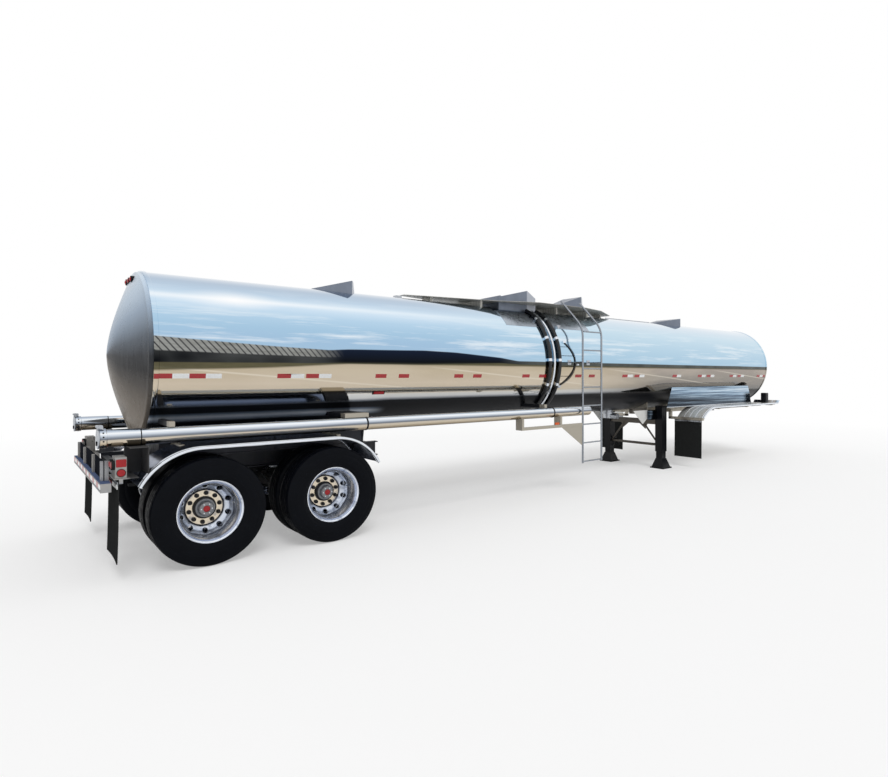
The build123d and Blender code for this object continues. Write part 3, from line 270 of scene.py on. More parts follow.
def repeated(surface, places):
    """The same surface at each place: P + place."""
    points, faces = surface
    places = np.asarray(places, float)
    many = (points[None] + places[:, None]).reshape(-1, 3)
    step = np.arange(len(places)) * len(points)
    return many, (faces[None] + step[:, None, None]).reshape(-1, 4)


def mirrored(surface):
    """The other side's surface: y becomes -y."""
    points, faces = surface
    return points * np.array([1.0, -1.0, 1.0]), faces[:, ::-1]


def both(*surfaces):
    """Surfaces of the right side with their mirrors on the left."""
    surface = joined(surfaces)
    return joined([surface, mirrored(surface)])


def piece(name, parts, body="trailer", replaces=(), sharp=32):
    """One object of several (surface, finish) pairs, its doubles merged and its faces turned outwards."""
    finishes = list(dict.fromkeys(finish for _, finish in parts))
    points, faces = joined([surface for surface, _ in parts])
    numbers = [np.full(len(surface[1]), finishes.index(finish)) for surface, finish in parts]
    mesh = bpy.data.meshes.new(name)
    mesh.from_pydata(points, [], faces)
    mesh.polygons.foreach_set("material_index", np.concatenate(numbers).astype(np.int32))
    work = bmesh.new()
    work.from_mesh(mesh)
    bmesh.ops.remove_doubles(work, verts=work.verts, dist=2e-6)
    bmesh.ops.dissolve_degenerate(work, edges=work.edges, dist=1e-7)
    bmesh.ops.recalc_face_normals(work, faces=work.faces)
    work.to_mesh(mesh)
    work.free()
    mesh.polygons.foreach_set("use_smooth", np.ones(len(mesh.polygons), bool))
    mesh.set_sharp_from_angle(angle=np.radians(sharp))
    for finish in finishes:
        mesh.materials.append(FINISHES[finish])
    made = bpy.data.objects.new(name, mesh)
    bpy.context.scene.collection.objects.link(made)
    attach(made, body)
    if replaces:
        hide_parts(*replaces)
    return made


# Finishes

class Paint:
    """A material under construction: its nodes are added and linked by these few calls."""

    def __init__(self, name):
        self.material = bpy.data.materials.new(name)
        self.material.use_nodes = True
        self.tree = self.material.node_tree
        self.shader = self.tree.nodes["Principled BSDF"]
        self.place = self.tree.nodes.new("ShaderNodeTexCoord").outputs["Object"]
        axes = self.tree.nodes.new("ShaderNodeSeparateXYZ")
        self.put(self.place, axes.inputs[0])
        self.x, self.y, self.z = axes.outputs
        FINISHES[name] = self.material

    def put(self, value, socket):
        """Link a socket, or set a plain value on it."""
        if isinstance(value, bpy.types.NodeSocket):
            self.tree.links.new(value, socket)
        else:
            socket.default_value = value

    def calc(self, operation, first, second=0.0, third=0.0):
        """One step of arithmetic."""
        node = self.tree.nodes.new("ShaderNodeMath")
        node.operation = operation
        for value, socket in zip((first, second, third), node.inputs):
            self.put(value, socket)
        return node.outputs[0]

    def times(self, first, second):
        """One value times another."""
        return self.calc("MULTIPLY", first, second)

    def moved(self, value, factor, shift):
        """A value scaled and shifted: value·factor + shift."""
        return self.calc("MULTIPLY_ADD", value, factor, shift)

    def distance(self, first, second):
        """How far two offsets reach together: sqrt(a² + b²)."""
        return self.calc("SQRT", self.calc("ADD", self.times(first, first), self.times(second, second)))

    def range(self, value, low, high, to_low=0.0, to_high=1.0):
        """A value's range moved to another range, and clamped there."""
        node = self.tree.nodes.new("ShaderNodeMapRange")
        for item, socket in zip((value, low, high, to_low, to_high), node.inputs):
            self.put(item, socket)
        return node.outputs[0]

    def passed(self, value, edge, soft):
        """0 below an edge and 1 above it, over a soft passage."""
        return self.range(self.calc("SUBTRACT", value, edge), -soft, soft)

    def stretched(self, scale, turn=(0, 0, 0)):
        """The place, scaled along each axis and turned."""
        node = self.tree.nodes.new("ShaderNodeMapping")
        self.put(self.place, node.inputs["Vector"])
        node.inputs["Scale"].default_value = scale
        node.inputs["Rotation"].default_value = turn
        return node.outputs[0]

    def texture(self, kind, stretch, turn=(0, 0, 0), **settings):
        """A texture over the stretched place, with its sockets' values by name."""
        node = self.tree.nodes.new(kind)
        self.put(self.stretched(stretch, turn), node.inputs["Vector"])
        for name, value in settings.items():
            node.inputs[name].default_value = value
        return node

    def noise(self, scale, detail=3.0, stretch=(1, 1, 1), roughness=0.5):
        """Soft noise, about 0.5 at its middle."""
        node = self.texture("ShaderNodeTexNoise", stretch, Scale=scale, Detail=detail, Roughness=roughness)
        return node.outputs[0]

    def gloss(self, scale, low, high):
        """Uneven roughness between two values."""
        return self.range(self.noise(scale, 3.0), 0.3, 0.7, low, high)

    def ramp(self, value, stops):
        """Colours along a value; a stop is (position, screen colour or grey level from 0 to 1)."""
        node = self.tree.nodes.new("ShaderNodeValToRGB")
        elements = node.color_ramp.elements
        tones = [(tone,) * 3 + (1.0,) if isinstance(tone, float) else linear(tone) for _, tone in stops]
        stops = sorted((place, tone) for (place, _), tone in zip(stops, tones))
        (first, first_tone), *between, (last, last_tone) = stops
        elements[0].position, elements[0].color = first, first_tone
        elements[1].position, elements[1].color = last, last_tone
        for place, tone in between:
            elements.new(place).color = tone
        self.put(value, node.inputs[0])
        return node.outputs[0]

    def fade(self, value, low, high):
        """A grey ramp from 0 at one place to 1 at another."""
        return self.ramp(value, [(low, 0.0), (high, 1.0)])

    def mix(self, factor, first, second):
        """One colour passing into another."""
        node = self.tree.nodes.new("ShaderNodeMix")
        node.data_type = "RGBA"
        self.put(factor, node.inputs["Factor"])
        self.put(first, node.inputs[6])
        self.put(second, node.inputs[7])
        return node.outputs[2]

    def mottled(self, scale, detail, first, second, stretch=(1, 1, 1)):
        """Soft blotches between two screen colours."""
        return self.mix(self.noise(scale, detail, stretch), linear(first), linear(second))

    def bump(self, height, distance, strength=1.0):
        """Relief on the surface."""
        node = self.tree.nodes.new("ShaderNodeBump")
        node.inputs["Strength"].default_value = strength
        node.inputs["Distance"].default_value = distance
        self.put(height, node.inputs["Height"])
        self.put(node.outputs[0], self.shader.inputs["Normal"])

    def finish(self, base, roughness, metallic=0.0, coat=0.0, shine=0.5, tint=(1.0, 1.0, 1.0)):
        """The shader's own values; shine is the specular level and tint its colour."""
        self.put(base, self.shader.inputs["Base Color"])
        self.put(roughness, self.shader.inputs["Roughness"])
        self.put(metallic, self.shader.inputs["Metallic"])
        self.shader.inputs["Coat Weight"].default_value = coat
        self.shader.inputs["Coat Roughness"].default_value = 0.08
        self.shader.inputs["Specular IOR Level"].default_value = shine
        self.shader.inputs["Specular Tint"].default_value = tuple(tint) + (1.0,)


def shaded(shade, factor):
    """A colour made darker or lighter."""
    return tuple(min(1.0, part * factor) for part in shade[:3]) + (1.0,)


def coloured(name, shade, roughness, metallic=0.0, scale=14.0, vary=0.12, relief=0.0004, coat=0.0, wear=None,
             shine=0.5):
    """A plain finish with soft blotches of tone, uneven gloss and fine relief."""
    paint = Paint(name)
    tone = paint.mix(paint.noise(scale, 5.0), shaded(shade, 1 - vary), shaded(shade, 1 + vary))
    if wear:
        streak = paint.range(paint.noise(3.0, 8.0, (1, 1, 0.3), 0.7), 0.52, 0.72)
        tone = paint.mix(paint.times(streak, 0.55), tone, linear(wear))
    gloss = paint.gloss(scale * 3, roughness * 0.8, min(1.0, roughness * 1.25))
    paint.finish(tone, gloss, metallic, coat, shine)
    paint.bump(paint.noise(scale * 12, 2.0), relief, 0.4)


def edge_line(paint, along, places):
    """A height that changes along the tank: straight runs between (metres ahead, height) pairs."""
    tank = bpy.context.scene.trailer_tank
    span = tank.front - tank.rear
    level = paint.ramp(along, [((place - tank.rear) / span, (height + 1) / 2) for place, height in places])
    return paint.moved(level, 2.0, -1.0)


def painted_sky_reflection(paint, along, scale, height):
    """Painted sky reflection by height, paler towards the front, with flat clouds and two streaks of painted
    sun highlight.
    """
    near = paint.ramp(scale, [
        (0.50, (164, 194, 219)), (0.60, (162, 193, 220)), (0.67, (166, 199, 224)), (0.75, (182, 211, 233)),
        (0.80, (204, 225, 242)), (0.835, (216, 233, 246)), (0.88, (190, 211, 230)), (0.94, (172, 191, 211)),
        (1.0, (198, 208, 220)),
    ])
    far = paint.ramp(scale, [
        (0.50, (168, 200, 222)), (0.67, (184, 212, 230)), (0.82, (198, 222, 236)), (0.93, (206, 222, 235)),
        (1.0, (214, 224, 234)),
    ])
    sky = paint.mix(paint.fade(along, 0.25, 0.50), near, far)
    band = paint.ramp(scale, [(0.50, 0.1), (0.60, 1.0), (0.70, 0.9), (0.80, 0.3), (1.0, 0.1)])
    # clouds painted into the reflected sky
    cloud_reflection = paint.times(paint.range(paint.noise(1.6, 5.0, (0.45, 1.0, 7.0), 0.62), 0.50, 0.68), band)
    sky = paint.mix(paint.times(cloud_reflection, 0.75), sky, linear((240, 246, 250)))
    # two painted sun highlights in white: a short bright spot and a long faint streak
    sun_highlight_place, sun_highlight_height = 0.38, 0.665
    for reach, spread, weight in ((0.60, 0.15, 1.0), (3.6, 0.055, 0.60)):
        run = paint.moved(paint.x, 1 / reach, -ahead(sun_highlight_place) / reach)
        rise = paint.moved(height, 1 / spread, -sun_highlight_height / spread)
        streak = paint.calc("POWER", paint.range(paint.distance(run, rise), 0.0, 1.0, 1.0, 0.0), 1.4)
        sky = paint.mix(paint.times(streak, weight), sky, linear((255, 255, 255)))
    return sky


def painted_ground_reflection(paint, along, scale, height):
    """Painted reflection of sand by height over light and dark bands, in three stretches along the tank, and
    a strip of grass.
    """
    # dark bands: painted reflection of the shade under the trailer; light bands: painted reflection of the
    # hose tube
    sand = paint.ramp(scale, [
        (0.0, (40, 44, 50)), (0.09, (20, 22, 26)), (0.108, (34, 38, 44)), (0.122, (158, 170, 186)),
        (0.136, (206, 213, 222)), (0.150, (112, 124, 140)), (0.163, (22, 24, 28)), (0.198, (22, 24, 28)),
        (0.210, (130, 136, 144)), (0.222, (214, 216, 216)), (0.252, (230, 230, 228)),
        (0.275, (208, 195, 174)), (0.33, (212, 198, 178)), (0.37, (202, 188, 166)), (0.42, (196, 182, 158)),
        (0.46, (182, 168, 144)),
    ])
    far_sand = paint.ramp(scale, [
        (0.0, (60, 62, 66)), (0.17, (26, 27, 30)), (0.195, (40, 40, 42)), (0.215, (112, 110, 107)),
        (0.27, (136, 130, 124)), (0.36, (152, 146, 138)), (0.45, (164, 154, 146)), (0.49, (150, 140, 132)),
    ])
    shade = paint.ramp(scale, [
        (0.0, (34, 36, 40)), (0.17, (18, 19, 22)), (0.204, (24, 26, 30)), (0.216, (140, 144, 150)),
        (0.228, (208, 210, 210)), (0.246, (216, 215, 211)), (0.264, (206, 193, 171)),
        (0.275, (208, 195, 174)),
    ])
    middle = paint.mix(paint.range(scale, 0.262, 0.274), shade, sand)
    ground = paint.mix(paint.fade(along, 0.178, 0.205), sand, middle)
    ground = paint.mix(paint.fade(along, 0.48, 0.66), ground, far_sand)
    drift = paint.range(paint.noise(0.9, 6.0, (0.5, 1.0, 3.2), 0.6), 0.47, 0.62)
    pale = paint.times(drift, paint.range(scale, 0.25, 0.30, 0.0, 0.22))
    ground = paint.mix(pale, ground, linear((228, 216, 198)))
    joints = paint.texture("ShaderNodeTexWave", (0.35, 0.0, 3.4), (0, 0.10, 0), Scale=0.55, Distortion=0.6)
    joints.bands_direction = "DIAGONAL"
    lines = paint.times(paint.range(joints.outputs["Fac"], 0.985, 1.0), 0.5)
    lines = paint.times(lines, paint.ramp(scale, [(0.27, 0.0), (0.30, 1.0), (0.42, 1.0), (0.45, 0.0)]))
    ground = paint.mix(lines, ground, linear((236, 228, 212)))
    strip = edge_line(paint, along, [(-0.42, -0.185), (0.7, -0.145), (1.6, -0.085), (12.5, -0.085)])
    grass = paint.mottled(6.0, 4.0, (58, 58, 40), (96, 92, 66), (1, 1, 5))
    return paint.mix(paint.times(paint.passed(height, strip, 0.012), 0.92), ground, grass)


def painted_skyline_reflection(paint, along, level):
    """Painted reflection of a shed's ribbed roof over walls at the rear, a dark belt after it and a thin grey
    one to the front.
    """
    roof = paint.mottled(7.0, 4.0, (112, 112, 106), (168, 170, 168), (0.6, 1, 4))
    ribs = paint.texture("ShaderNodeTexWave", (1.0, 0.0, 1.6), (0, 0.5, 0), Scale=5.6, Distortion=0.4)
    rib = paint.times(paint.range(ribs.outputs["Fac"], 0.72, 0.95), 0.9)
    roof = paint.mix(rib, roof, linear((44, 46, 50)))
    walls = paint.texture("ShaderNodeTexVoronoi", (1.8, 0.0, 3.0), Scale=1.4)
    wall = paint.mix(walls.outputs["Distance"], linear((14, 16, 20)), linear((74, 76, 76)))
    shed = paint.mix(paint.range(level, 0.44, 0.50), wall, roof)
    navy = paint.ramp(level, [
        (0.0, (66, 66, 54)), (0.14, (20, 22, 26)), (0.55, (22, 28, 40)), (1.0, (26, 34, 52)),
    ])
    thin = paint.mottled(2.4, 4.0, (40, 42, 42), (104, 108, 104), (1.0, 1, 0.2))
    belt = paint.mix(paint.fade(along, 0.122, 0.150), shed, navy)
    return paint.mix(paint.fade(along, 0.34, 0.39), belt, thin)


def polished_jacket():
    """Mirror polish with painted reflections: sky above, a skyline at the middle and sand below, all by
    height on the tank.
    """
    tank = bpy.context.scene.trailer_tank
    paint = Paint("polished_jacket")
    along = paint.range(paint.x, ahead(tank.rear), ahead(tank.front))
    ripple = paint.moved(paint.noise(1.0, 4.0, (0.5, 1, 3.0)), 0.02, -0.01)
    height = paint.calc("ADD", paint.moved(paint.z, 1 / tank.radius, -tank.height / tank.radius), ripple)
    scale = paint.moved(height, 0.5, 0.5)
    top = edge_line(paint, along, [
        (-0.42, 0.192), (0.7, 0.120), (1.37, 0.088), (1.6, 0.104), (2.7, 0.126), (3.2, 0.112),
        (4.0, 0.050), (4.35, 0.000), (8.0, -0.002), (12.5, -0.006),
    ])
    low = edge_line(paint, along, [
        (-0.42, -0.098), (0.7, -0.084), (2.7, -0.078), (4.0, -0.040), (4.4, -0.058), (8.0, -0.062),
        (12.5, -0.070),
    ])
    level = paint.calc("DIVIDE", paint.calc("SUBTRACT", height, low), paint.calc("SUBTRACT", top, low))
    belt = painted_skyline_reflection(paint, along, level)
    # sky, skyline and ground here are painted reflections laid over the real mirror polish
    tone = paint.mix(paint.passed(height, low, 0.006), painted_ground_reflection(paint, along, scale, height), belt)
    tone = paint.mix(paint.passed(height, top, 0.006), tone, painted_sky_reflection(paint, along, scale, height))
    underside = paint.range(height, -0.60, -0.56, 0.25, 0.0)
    metal = paint.range(height, -0.62, -0.57, 0.35, 1.0)
    paint.finish(tone, paint.calc("ADD", paint.gloss(3.0, 0.045, 0.085), underside), metal, shine=0.1)
    paint.bump(paint.noise(0.8, 3.0, (0.6, 1, 1)), 0.004, 0.35)


def polished_tube():
    """Mirror polish on a tube with painted reflections: bright above, blue-grey at the middle and sand below,
    by height.
    """
    tank = bpy.context.scene.trailer_tank
    paint = Paint("polished_tube")
    scale = paint.moved(paint.z, 0.5 / tank.tube_radius, 0.5 - 0.5 * tank.tube_height / tank.tube_radius)
    wave = paint.moved(paint.noise(1.2, 5.0, (0.5, 1, 6)), 0.10, -0.05)
    # painted reflections by height, with a white painted highlight a little above the middle
    tone = paint.ramp(paint.calc("ADD", scale, wave), [
        (0.0, (96, 88, 80)), (0.14, (178, 162, 138)), (0.30, (216, 203, 182)), (0.42, (206, 196, 182)),
        (0.47, (112, 116, 122)), (0.56, (140, 148, 160)), (0.68, (206, 214, 224)), (0.80, (246, 249, 252)),
        (0.90, (190, 202, 216)), (1.0, (150, 160, 176)),
    ])
    paint.finish(tone, paint.gloss(5.0, 0.07, 0.14), 1.0)
    paint.bump(paint.noise(1.5, 3.0, (0.6, 1, 1)), 0.002, 0.3)


def satin_head():
    """Satin steel on the rear head with a painted reflection: blue-grey above, dark at the side, brown below,
    by the way round it.
    """
    tank = bpy.context.scene.trailer_tank
    paint = Paint("satin_head")
    rise = paint.calc("SUBTRACT", paint.z, tank.height)
    reach = paint.calc("MAXIMUM", paint.distance(paint.y, rise), 0.02)
    round_share = paint.times(paint.calc("DIVIDE", rise, reach), 0.28)
    height_share = paint.times(paint.times(rise, 1 / tank.radius), 0.22)
    wave = paint.moved(paint.noise(1.4, 4.0), 0.08, 0.46)
    # this ramp is a painted reflection; only the grain below is the steel's own
    tone = paint.ramp(paint.calc("ADD", paint.calc("ADD", round_share, height_share), wave), [
        (0.0, (150, 139, 125)), (0.16, (116, 107, 96)), (0.30, (70, 65, 60)), (0.40, (26, 25, 26)),
        (0.48, (38, 40, 44)), (0.60, (84, 92, 102)), (0.78, (150, 166, 184)), (0.92, (196, 212, 228)),
        (1.0, (226, 236, 246)),
    ])
    grain = paint.noise(60.0, 3.0, (1, 1, 0.06))
    tone = paint.mix(paint.times(grain, 0.10), tone, linear((220, 222, 224)))
    paint.finish(tone, paint.gloss(9.0, 0.24, 0.36), 0.25, shine=0.12, tint=(0.12, 0.12, 0.13))
    paint.bump(grain, 0.0002, 0.2)


def wheel_alloy():
    """Polished alloy with painted reflections by radius: a warm mounting ring, a bluer barrel and fine
    turning marks.
    """
    paint = Paint("wheel_alloy")
    rise = paint.calc("SUBTRACT", paint.z, AXLE_HEIGHT)
    radii = [paint.distance(paint.calc("SUBTRACT", paint.x, axle), rise) for axle in (REAR_AXLE, FRONT_AXLE)]
    radius = paint.calc("MINIMUM", *radii)
    # painted reflections by radius, with white painted highlights on the rim's rolls
    tone = paint.ramp(paint.times(radius, 3.0), [
        (0.32, (150, 140, 126)), (0.335, (230, 217, 194)), (0.504, (226, 214, 194)), (0.512, (60, 62, 70)),
        (0.535, (92, 96, 106)), (0.58, (214, 220, 230)), (0.66, (198, 206, 220)), (0.745, (226, 232, 242)),
        (0.775, (150, 160, 180)), (0.79, (238, 242, 250)), (0.82, (196, 206, 226)), (0.845, (150, 162, 188)),
        (0.86, (244, 247, 252)), (0.885, (206, 214, 228)), (0.90, (248, 250, 253)),
    ])
    # blue-grey streaks of painted reflection across the rings
    streak = paint.range(paint.noise(9.0, 3.0, (1.0, 0.25, 1.0), 0.6), 0.56, 0.64)
    tone = paint.mix(streak, tone, paint.mix(0.5, tone, linear((110, 120, 142))))
    paint.finish(tone, paint.gloss(20.0, 0.15, 0.25), 0.85)
    paint.bump(paint.calc("SINE", paint.times(radius, 1800.0)), 0.00006, 0.4)


def lens(name, shade):
    """A ribbed, clear-coated lens."""
    paint = Paint(name)
    rib = paint.calc("SINE", paint.times(paint.z, 900.0))
    cross = paint.calc("SINE", paint.times(paint.calc("ADD", paint.y, paint.x), 900.0))
    tone = paint.mix(paint.noise(30.0, 2.0), shaded(shade, 0.7), shaded(shade, 1.1))
    paint.finish(tone, 0.2, 0.0, 0.25, 0.3)
    paint.bump(paint.calc("ADD", rib, cross), 0.0005, 0.5)


def tape(name, shade):
    """Reflecting tape with its cells."""
    paint = Paint(name)
    cells = paint.tree.nodes.new("ShaderNodeTexVoronoi")
    paint.put(paint.place, cells.inputs["Vector"])
    cells.inputs["Scale"].default_value = 160.0
    tone = paint.mix(cells.outputs["Distance"], shaded(shade, 1.08), shaded(shade, 0.8))
    paint.finish(tone, 0.32, 0.0, 0.3)
    paint.bump(cells.outputs["Distance"], 0.0003, 0.3)


def tread_plate():
    """Open-grip walkway plate: rows of raised buttons 40 mm apart on dull aluminium."""
    paint = Paint("tread_plate")
    rows = [paint.calc("SINE", paint.times(axis, 157.0)) for axis in (paint.x, paint.y)]
    button = paint.range(paint.times(*rows), 0.45, 0.8)
    dull = paint.mottled(7.0, 5.0, (146, 144, 138), (192, 190, 182))
    tone = paint.mix(button, dull, linear((214, 214, 208)))
    paint.finish(tone, paint.gloss(16.0, 0.36, 0.55), 0.5)
    paint.bump(button, 0.003, 0.6)


def bumper_paint():
    """Bumper: satin posts, a black apron between them, a blue-grey ledge of painted sky reflection and dark
    boxes ahead, by place.
    """
    beam_top, soft = 0.885, 0.001
    paint = Paint("bumper_paint")
    metal = paint.mottled(8.0, 5.0, (134, 138, 144), (178, 180, 184))
    # beige blotches of painted sand reflection on the metal
    sand = paint.range(paint.noise(2.0, 4.0), 0.45, 0.6)
    metal = paint.mix(paint.times(sand, 0.4), metal, linear((168, 158, 140)))
    dark = paint.mottled(6.0, 3.0, (16, 17, 21), (40, 42, 48))
    # blue-grey painted reflection of the sky on the beam's top ledge
    blue = paint.mottled(9.0, 4.0, (52, 64, 92), (104, 118, 150))
    apron = paint.calc("COMPARE", paint.x, ahead(-0.836), 0.0045)
    apron = paint.times(apron, paint.calc("GREATER_THAN", paint.z, beam_top + 1.2 * soft))
    boxes = paint.times(paint.range(paint.x, ahead(-0.70), ahead(-0.66)), 0.85)
    black = paint.calc("MAXIMUM", apron, boxes)
    ledge = paint.calc("COMPARE", paint.z, beam_top, soft)
    tone = paint.mix(black, paint.mix(ledge, metal, blue), dark)
    metallic = paint.range(paint.calc("MAXIMUM", black, ledge), 0.0, 1.0, 0.6, 0.0)
    paint.finish(tone, paint.gloss(20.0, 0.26, 0.4), metallic, shine=0.0, tint=(0.5, 0.5, 0.5))
    paint.bump(paint.noise(90.0, 2.0), 0.0004, 0.4)


def bracket_paint():
    """Brackets of the hose tubes: light metal on the outer edge, dark painted shade from there in to the
    tank, by place.
    """
    paint = Paint("bracket_paint")
    edge = paint.range(paint.calc("ABSOLUTE", paint.y), 0.98, 1.01)
    # near black painted shade on the brackets' inner parts under the tank
    dark = paint.mottled(6.0, 3.0, (14, 15, 18), (32, 33, 38))
    tone = paint.mix(edge, dark, shaded(bpy.context.scene.trailer_colours.bare_metal, 1.0))
    paint.finish(tone, 0.4, paint.range(edge, 0.0, 1.0, 0.0, 0.7), shine=0.1)
    paint.bump(paint.noise(60.0, 2.0), 0.0004, 0.4)


def guard_paint():
    """Guards: dull sheet, with a painted highlight on each cut-back end from its crest down, by place."""
    grey = bpy.context.scene.trailer_colours.guard_grey
    paint = Paint("guard_paint")
    # mask of the painted highlight on the guards' cut-back end faces
    light = 0.0
    for crest, end in ((1.948, 2.08), (5.055, 5.27), (6.528, 6.74), (9.70, 9.90)):
        rise = paint.range(paint.x, ahead(crest) - 0.004, ahead(crest) + 0.004)
        fall = paint.range(paint.x, ahead(end), ahead(end) + 0.004, 1.0, 0.0)
        light = paint.calc("ADD", light, paint.times(rise, fall))
    sheet = paint.mix(paint.noise(4.0, 5.0, (1, 1, 0.4)), shaded(grey, 0.55), shaded(grey, 1.15))
    tone = paint.mix(paint.times(light, 0.8), sheet, linear((188, 192, 200)))
    paint.finish(tone, paint.gloss(16.0, 0.28, 0.42), 0.8)
    paint.bump(paint.noise(50.0, 2.0), 0.0005, 0.4)


def ribbed_sheet():
    """Bright sheet with fine lines along it and soft blue and dark streaks of painted reflection, darker low
    down as painted shade.
    """
    paint = Paint("ribbed_sheet")
    streak = paint.noise(2.0, 6.0, (0.25, 1, 16), 0.66)
    # streaks of painted reflection on the upper sheet
    light = paint.ramp(streak, [
        (0.34, (70, 84, 104)), (0.46, (120, 142, 164)), (0.56, (166, 190, 210)), (0.68, (214, 226, 236)),
    ])
    # darker streaks used low down, as painted shade
    deep = paint.ramp(streak, [(0.36, (14, 17, 22)), (0.50, (48, 58, 70)), (0.66, (120, 138, 154))])
    slope = 0.05
    level = paint.calc("ADD", paint.z, paint.moved(paint.x, slope, -slope * ahead(10.2)))
    paint.finish(paint.mix(paint.range(level, 1.28, 1.44), deep, light), 0.14, 1.0)
    paint.bump(paint.calc("SINE", paint.times(paint.z, 420.0)), 0.0005, 0.3)


def plain_finishes():
    """Plain finishes: colour, roughness, how metallic, blotch size, how much the tone varies, and relief."""
    colours = bpy.context.scene.trailer_colours
    coloured("bare_metal", colours.bare_metal, 0.34, 0.75, 6.0, 0.14, 0.0004, wear=(120, 112, 98))
    # frame metal darkened as painted shade under the tank
    coloured("frame_metal", colours.frame_metal, 0.42, 0.6, 5.0, 0.22, 0.0006, wear=(122, 116, 106))
    # near black as painted shade on the subframe and hangers under the tank
    coloured("frame_dark", linear((38, 40, 46)), 0.4, 0.3, 5.0, 0.3, 0.0006, wear=(70, 68, 66), shine=0.3)
    coloured("web_plate", linear((214, 214, 212)), 0.4, 0.3, 6.0, 0.08, 0.0003)
    coloured("ladder_tube", linear((150, 155, 162)), 0.24, 1.0, 6.0, 0.16, 0.0002)
    # blue-grey as a painted reflection of the tank's dark underside on the rear fenders' sheet
    coloured("fender_deep", linear((92, 104, 128)), 0.18, 0.9, 3.0, 0.16, 0.0002)
    coloured("fender_satin", linear((206, 207, 204)), 0.30, 0.55, 3.0, 0.08, 0.0003)
    coloured("bright_sheet", colours.bright_sheet, 0.13, 1.0, 3.0, 0.10, 0.0002)
    coloured("chrome_clip", colours.bright_sheet, 0.16, 1.0, 20.0, 0.06, 0.0002)
    coloured("apron_sheet", linear((176, 184, 194)), 0.3, 1.0, 5.0, 0.3, 0.0006, wear=(96, 100, 108))
    coloured("satin_steel", linear((178, 182, 188)), 0.3, 0.9, 8.0, 0.12, 0.0003)
    coloured("chassis_black", colours.chassis_black, 0.36, 0.0, 8.0, 0.3, 0.0006, 0.1, (24, 24, 27), 0.12)
    coloured("axle_black", colours.axle_black, 0.5, 0.0, 8.0, 0.3, 0.0008, wear=(72, 68, 62), shine=0.25)
    coloured("tyre_rubber", colours.rubber, 0.46, 0.0, 9.0, 0.3, 0.0006, shine=0.07)
    coloured("soft_rubber", linear((40, 41, 41)), 0.6, 0.0, 20.0, 0.2, 0.0006, shine=0.0)
    coloured("hose_rubber", colours.rubber, 0.3, 0.0, 20.0, 0.2, 0.0008, 0.1)
    coloured("hub_grey", colours.hub_grey, 0.4, 0.6, 16.0, 0.18, 0.0008)
    coloured("dark_nut", linear((26, 26, 28)), 0.36, 0.5, 30.0, 0.2, 0.0004)
    coloured("pin_steel", linear((112, 112, 114)), 0.3, 0.95, 20.0, 0.15, 0.0004)


class TRAILER_OT_finishes(bpy.types.Operator):
    """Make every finish of the trailer"""

    bl_idname = "trailer.finishes"
    bl_label = "Finishes"

    def execute(self, context):
        """Each finish is a tree of nodes that reads places on the object."""
        colours = context.scene.trailer_colours
        for make in (polished_jacket, polished_tube, satin_head, wheel_alloy, tread_plate, ribbed_sheet,
                     bumper_paint, bracket_paint, guard_paint, plain_finishes):
            make()
        lens("red_lens", colours.lens_red)
        lens("amber_lens", colours.lens_amber)
        tape("red_tape", colours.lens_red)
        tape("white_tape", colours.tape_white)
        return {"FINISHED"}


# Pieces

# marking tape on the tank: where a red mark starts, metres ahead of the rear axle, and whether white follows
TAPE_MARKS = (
    (-0.410, 1), (-0.106, 1), (0.770, 1), (1.095, 1), (1.975, 0), (2.305, 0), (3.180, 0), (3.508, 0),
    (4.455, 0), (4.812, 0), (5.645, 0), (5.990, 0), (6.905, 1), (7.262, 1), (8.500, 1), (9.436, 1),
    (9.792, 1), (10.755, 1), (11.115, 1), (12.040, 1), (12.344, 0),
)
# length of a mark and thickness of the tape
MARK, TAPE = 0.152, 0.0012
# how far the rolled bands of the jacket stand out
BEAD = 0.009
# straps and seam rings of a hose tube: place, width, how far it stands out
TUBE_RINGS = ((-0.566, 0.008, 0.0015), (1.715, 0.018, 0.004), (4.860, 0.018, 0.004))
# rear end of a hose tube, and how far its door's hinge lies over the tube's axis
TUBE_REAR, HINGE = -0.880, 0.110
# ladder: rail places ahead of the axle, rung heights start and step
LADDER = {"rails": (5.475, 5.935), "first": 0.470, "step": 0.295, "rungs": 8, "tube": 0.016, "rung": 0.011}
# wheels: name, place along the trailer, side
WHEELS = (("rear_left", REAR_AXLE, 1), ("rear_right", REAR_AXLE, -1), ("front_left", FRONT_AXLE, 1),
          ("front_right", FRONT_AXLE, -1))
# mud flaps: face, outer and inner edge, bottom, top, and the bar's rear, front and middle height
FLAPS = ((-0.7603, -1.28, -0.68, 0.180, 0.912, -0.7660, -0.7606, 0.885),
         (8.926, -1.25, -0.65, 0.200, 0.9497, 8.919, 8.925, 0.930))
# outer face of a wheel's disc, and the two radii that its hand holes lie between
FACE = MOUNT_Y + 0.022
HOLE_BAND = (0.190, 0.256)


def closed_sheet(front, back):
    """A sheet between two grids of points, closed round its edges."""
    skin = grid(np.concatenate([front, back[::-1]]), round_u=True)
    return joined([skin] + [grid(np.stack([front[:, end], back[:, end]])) for end in (0, -1)])


def jacket_profile(tank):
    """The jacket's section (along, radius): a rolled band at each end and a straight run between."""
    rear, front, bead, edge = ahead(tank.rear), ahead(tank.front), tank.radius + BEAD, 0.003
    band = [(0, tank.radius - 0.006), (0, bead - edge), (0.004, bead), (tank.band - 0.004, bead),
            (tank.band, bead - edge), (tank.band + 0.002, tank.radius)]
    profile = [(rear + along, level) for along, level in band]
    profile += [(station, tank.radius) for station in np.linspace(rear + 0.3, front - 0.3, 41)]
    return profile + [(front - along, level) for along, level in reversed(band)]


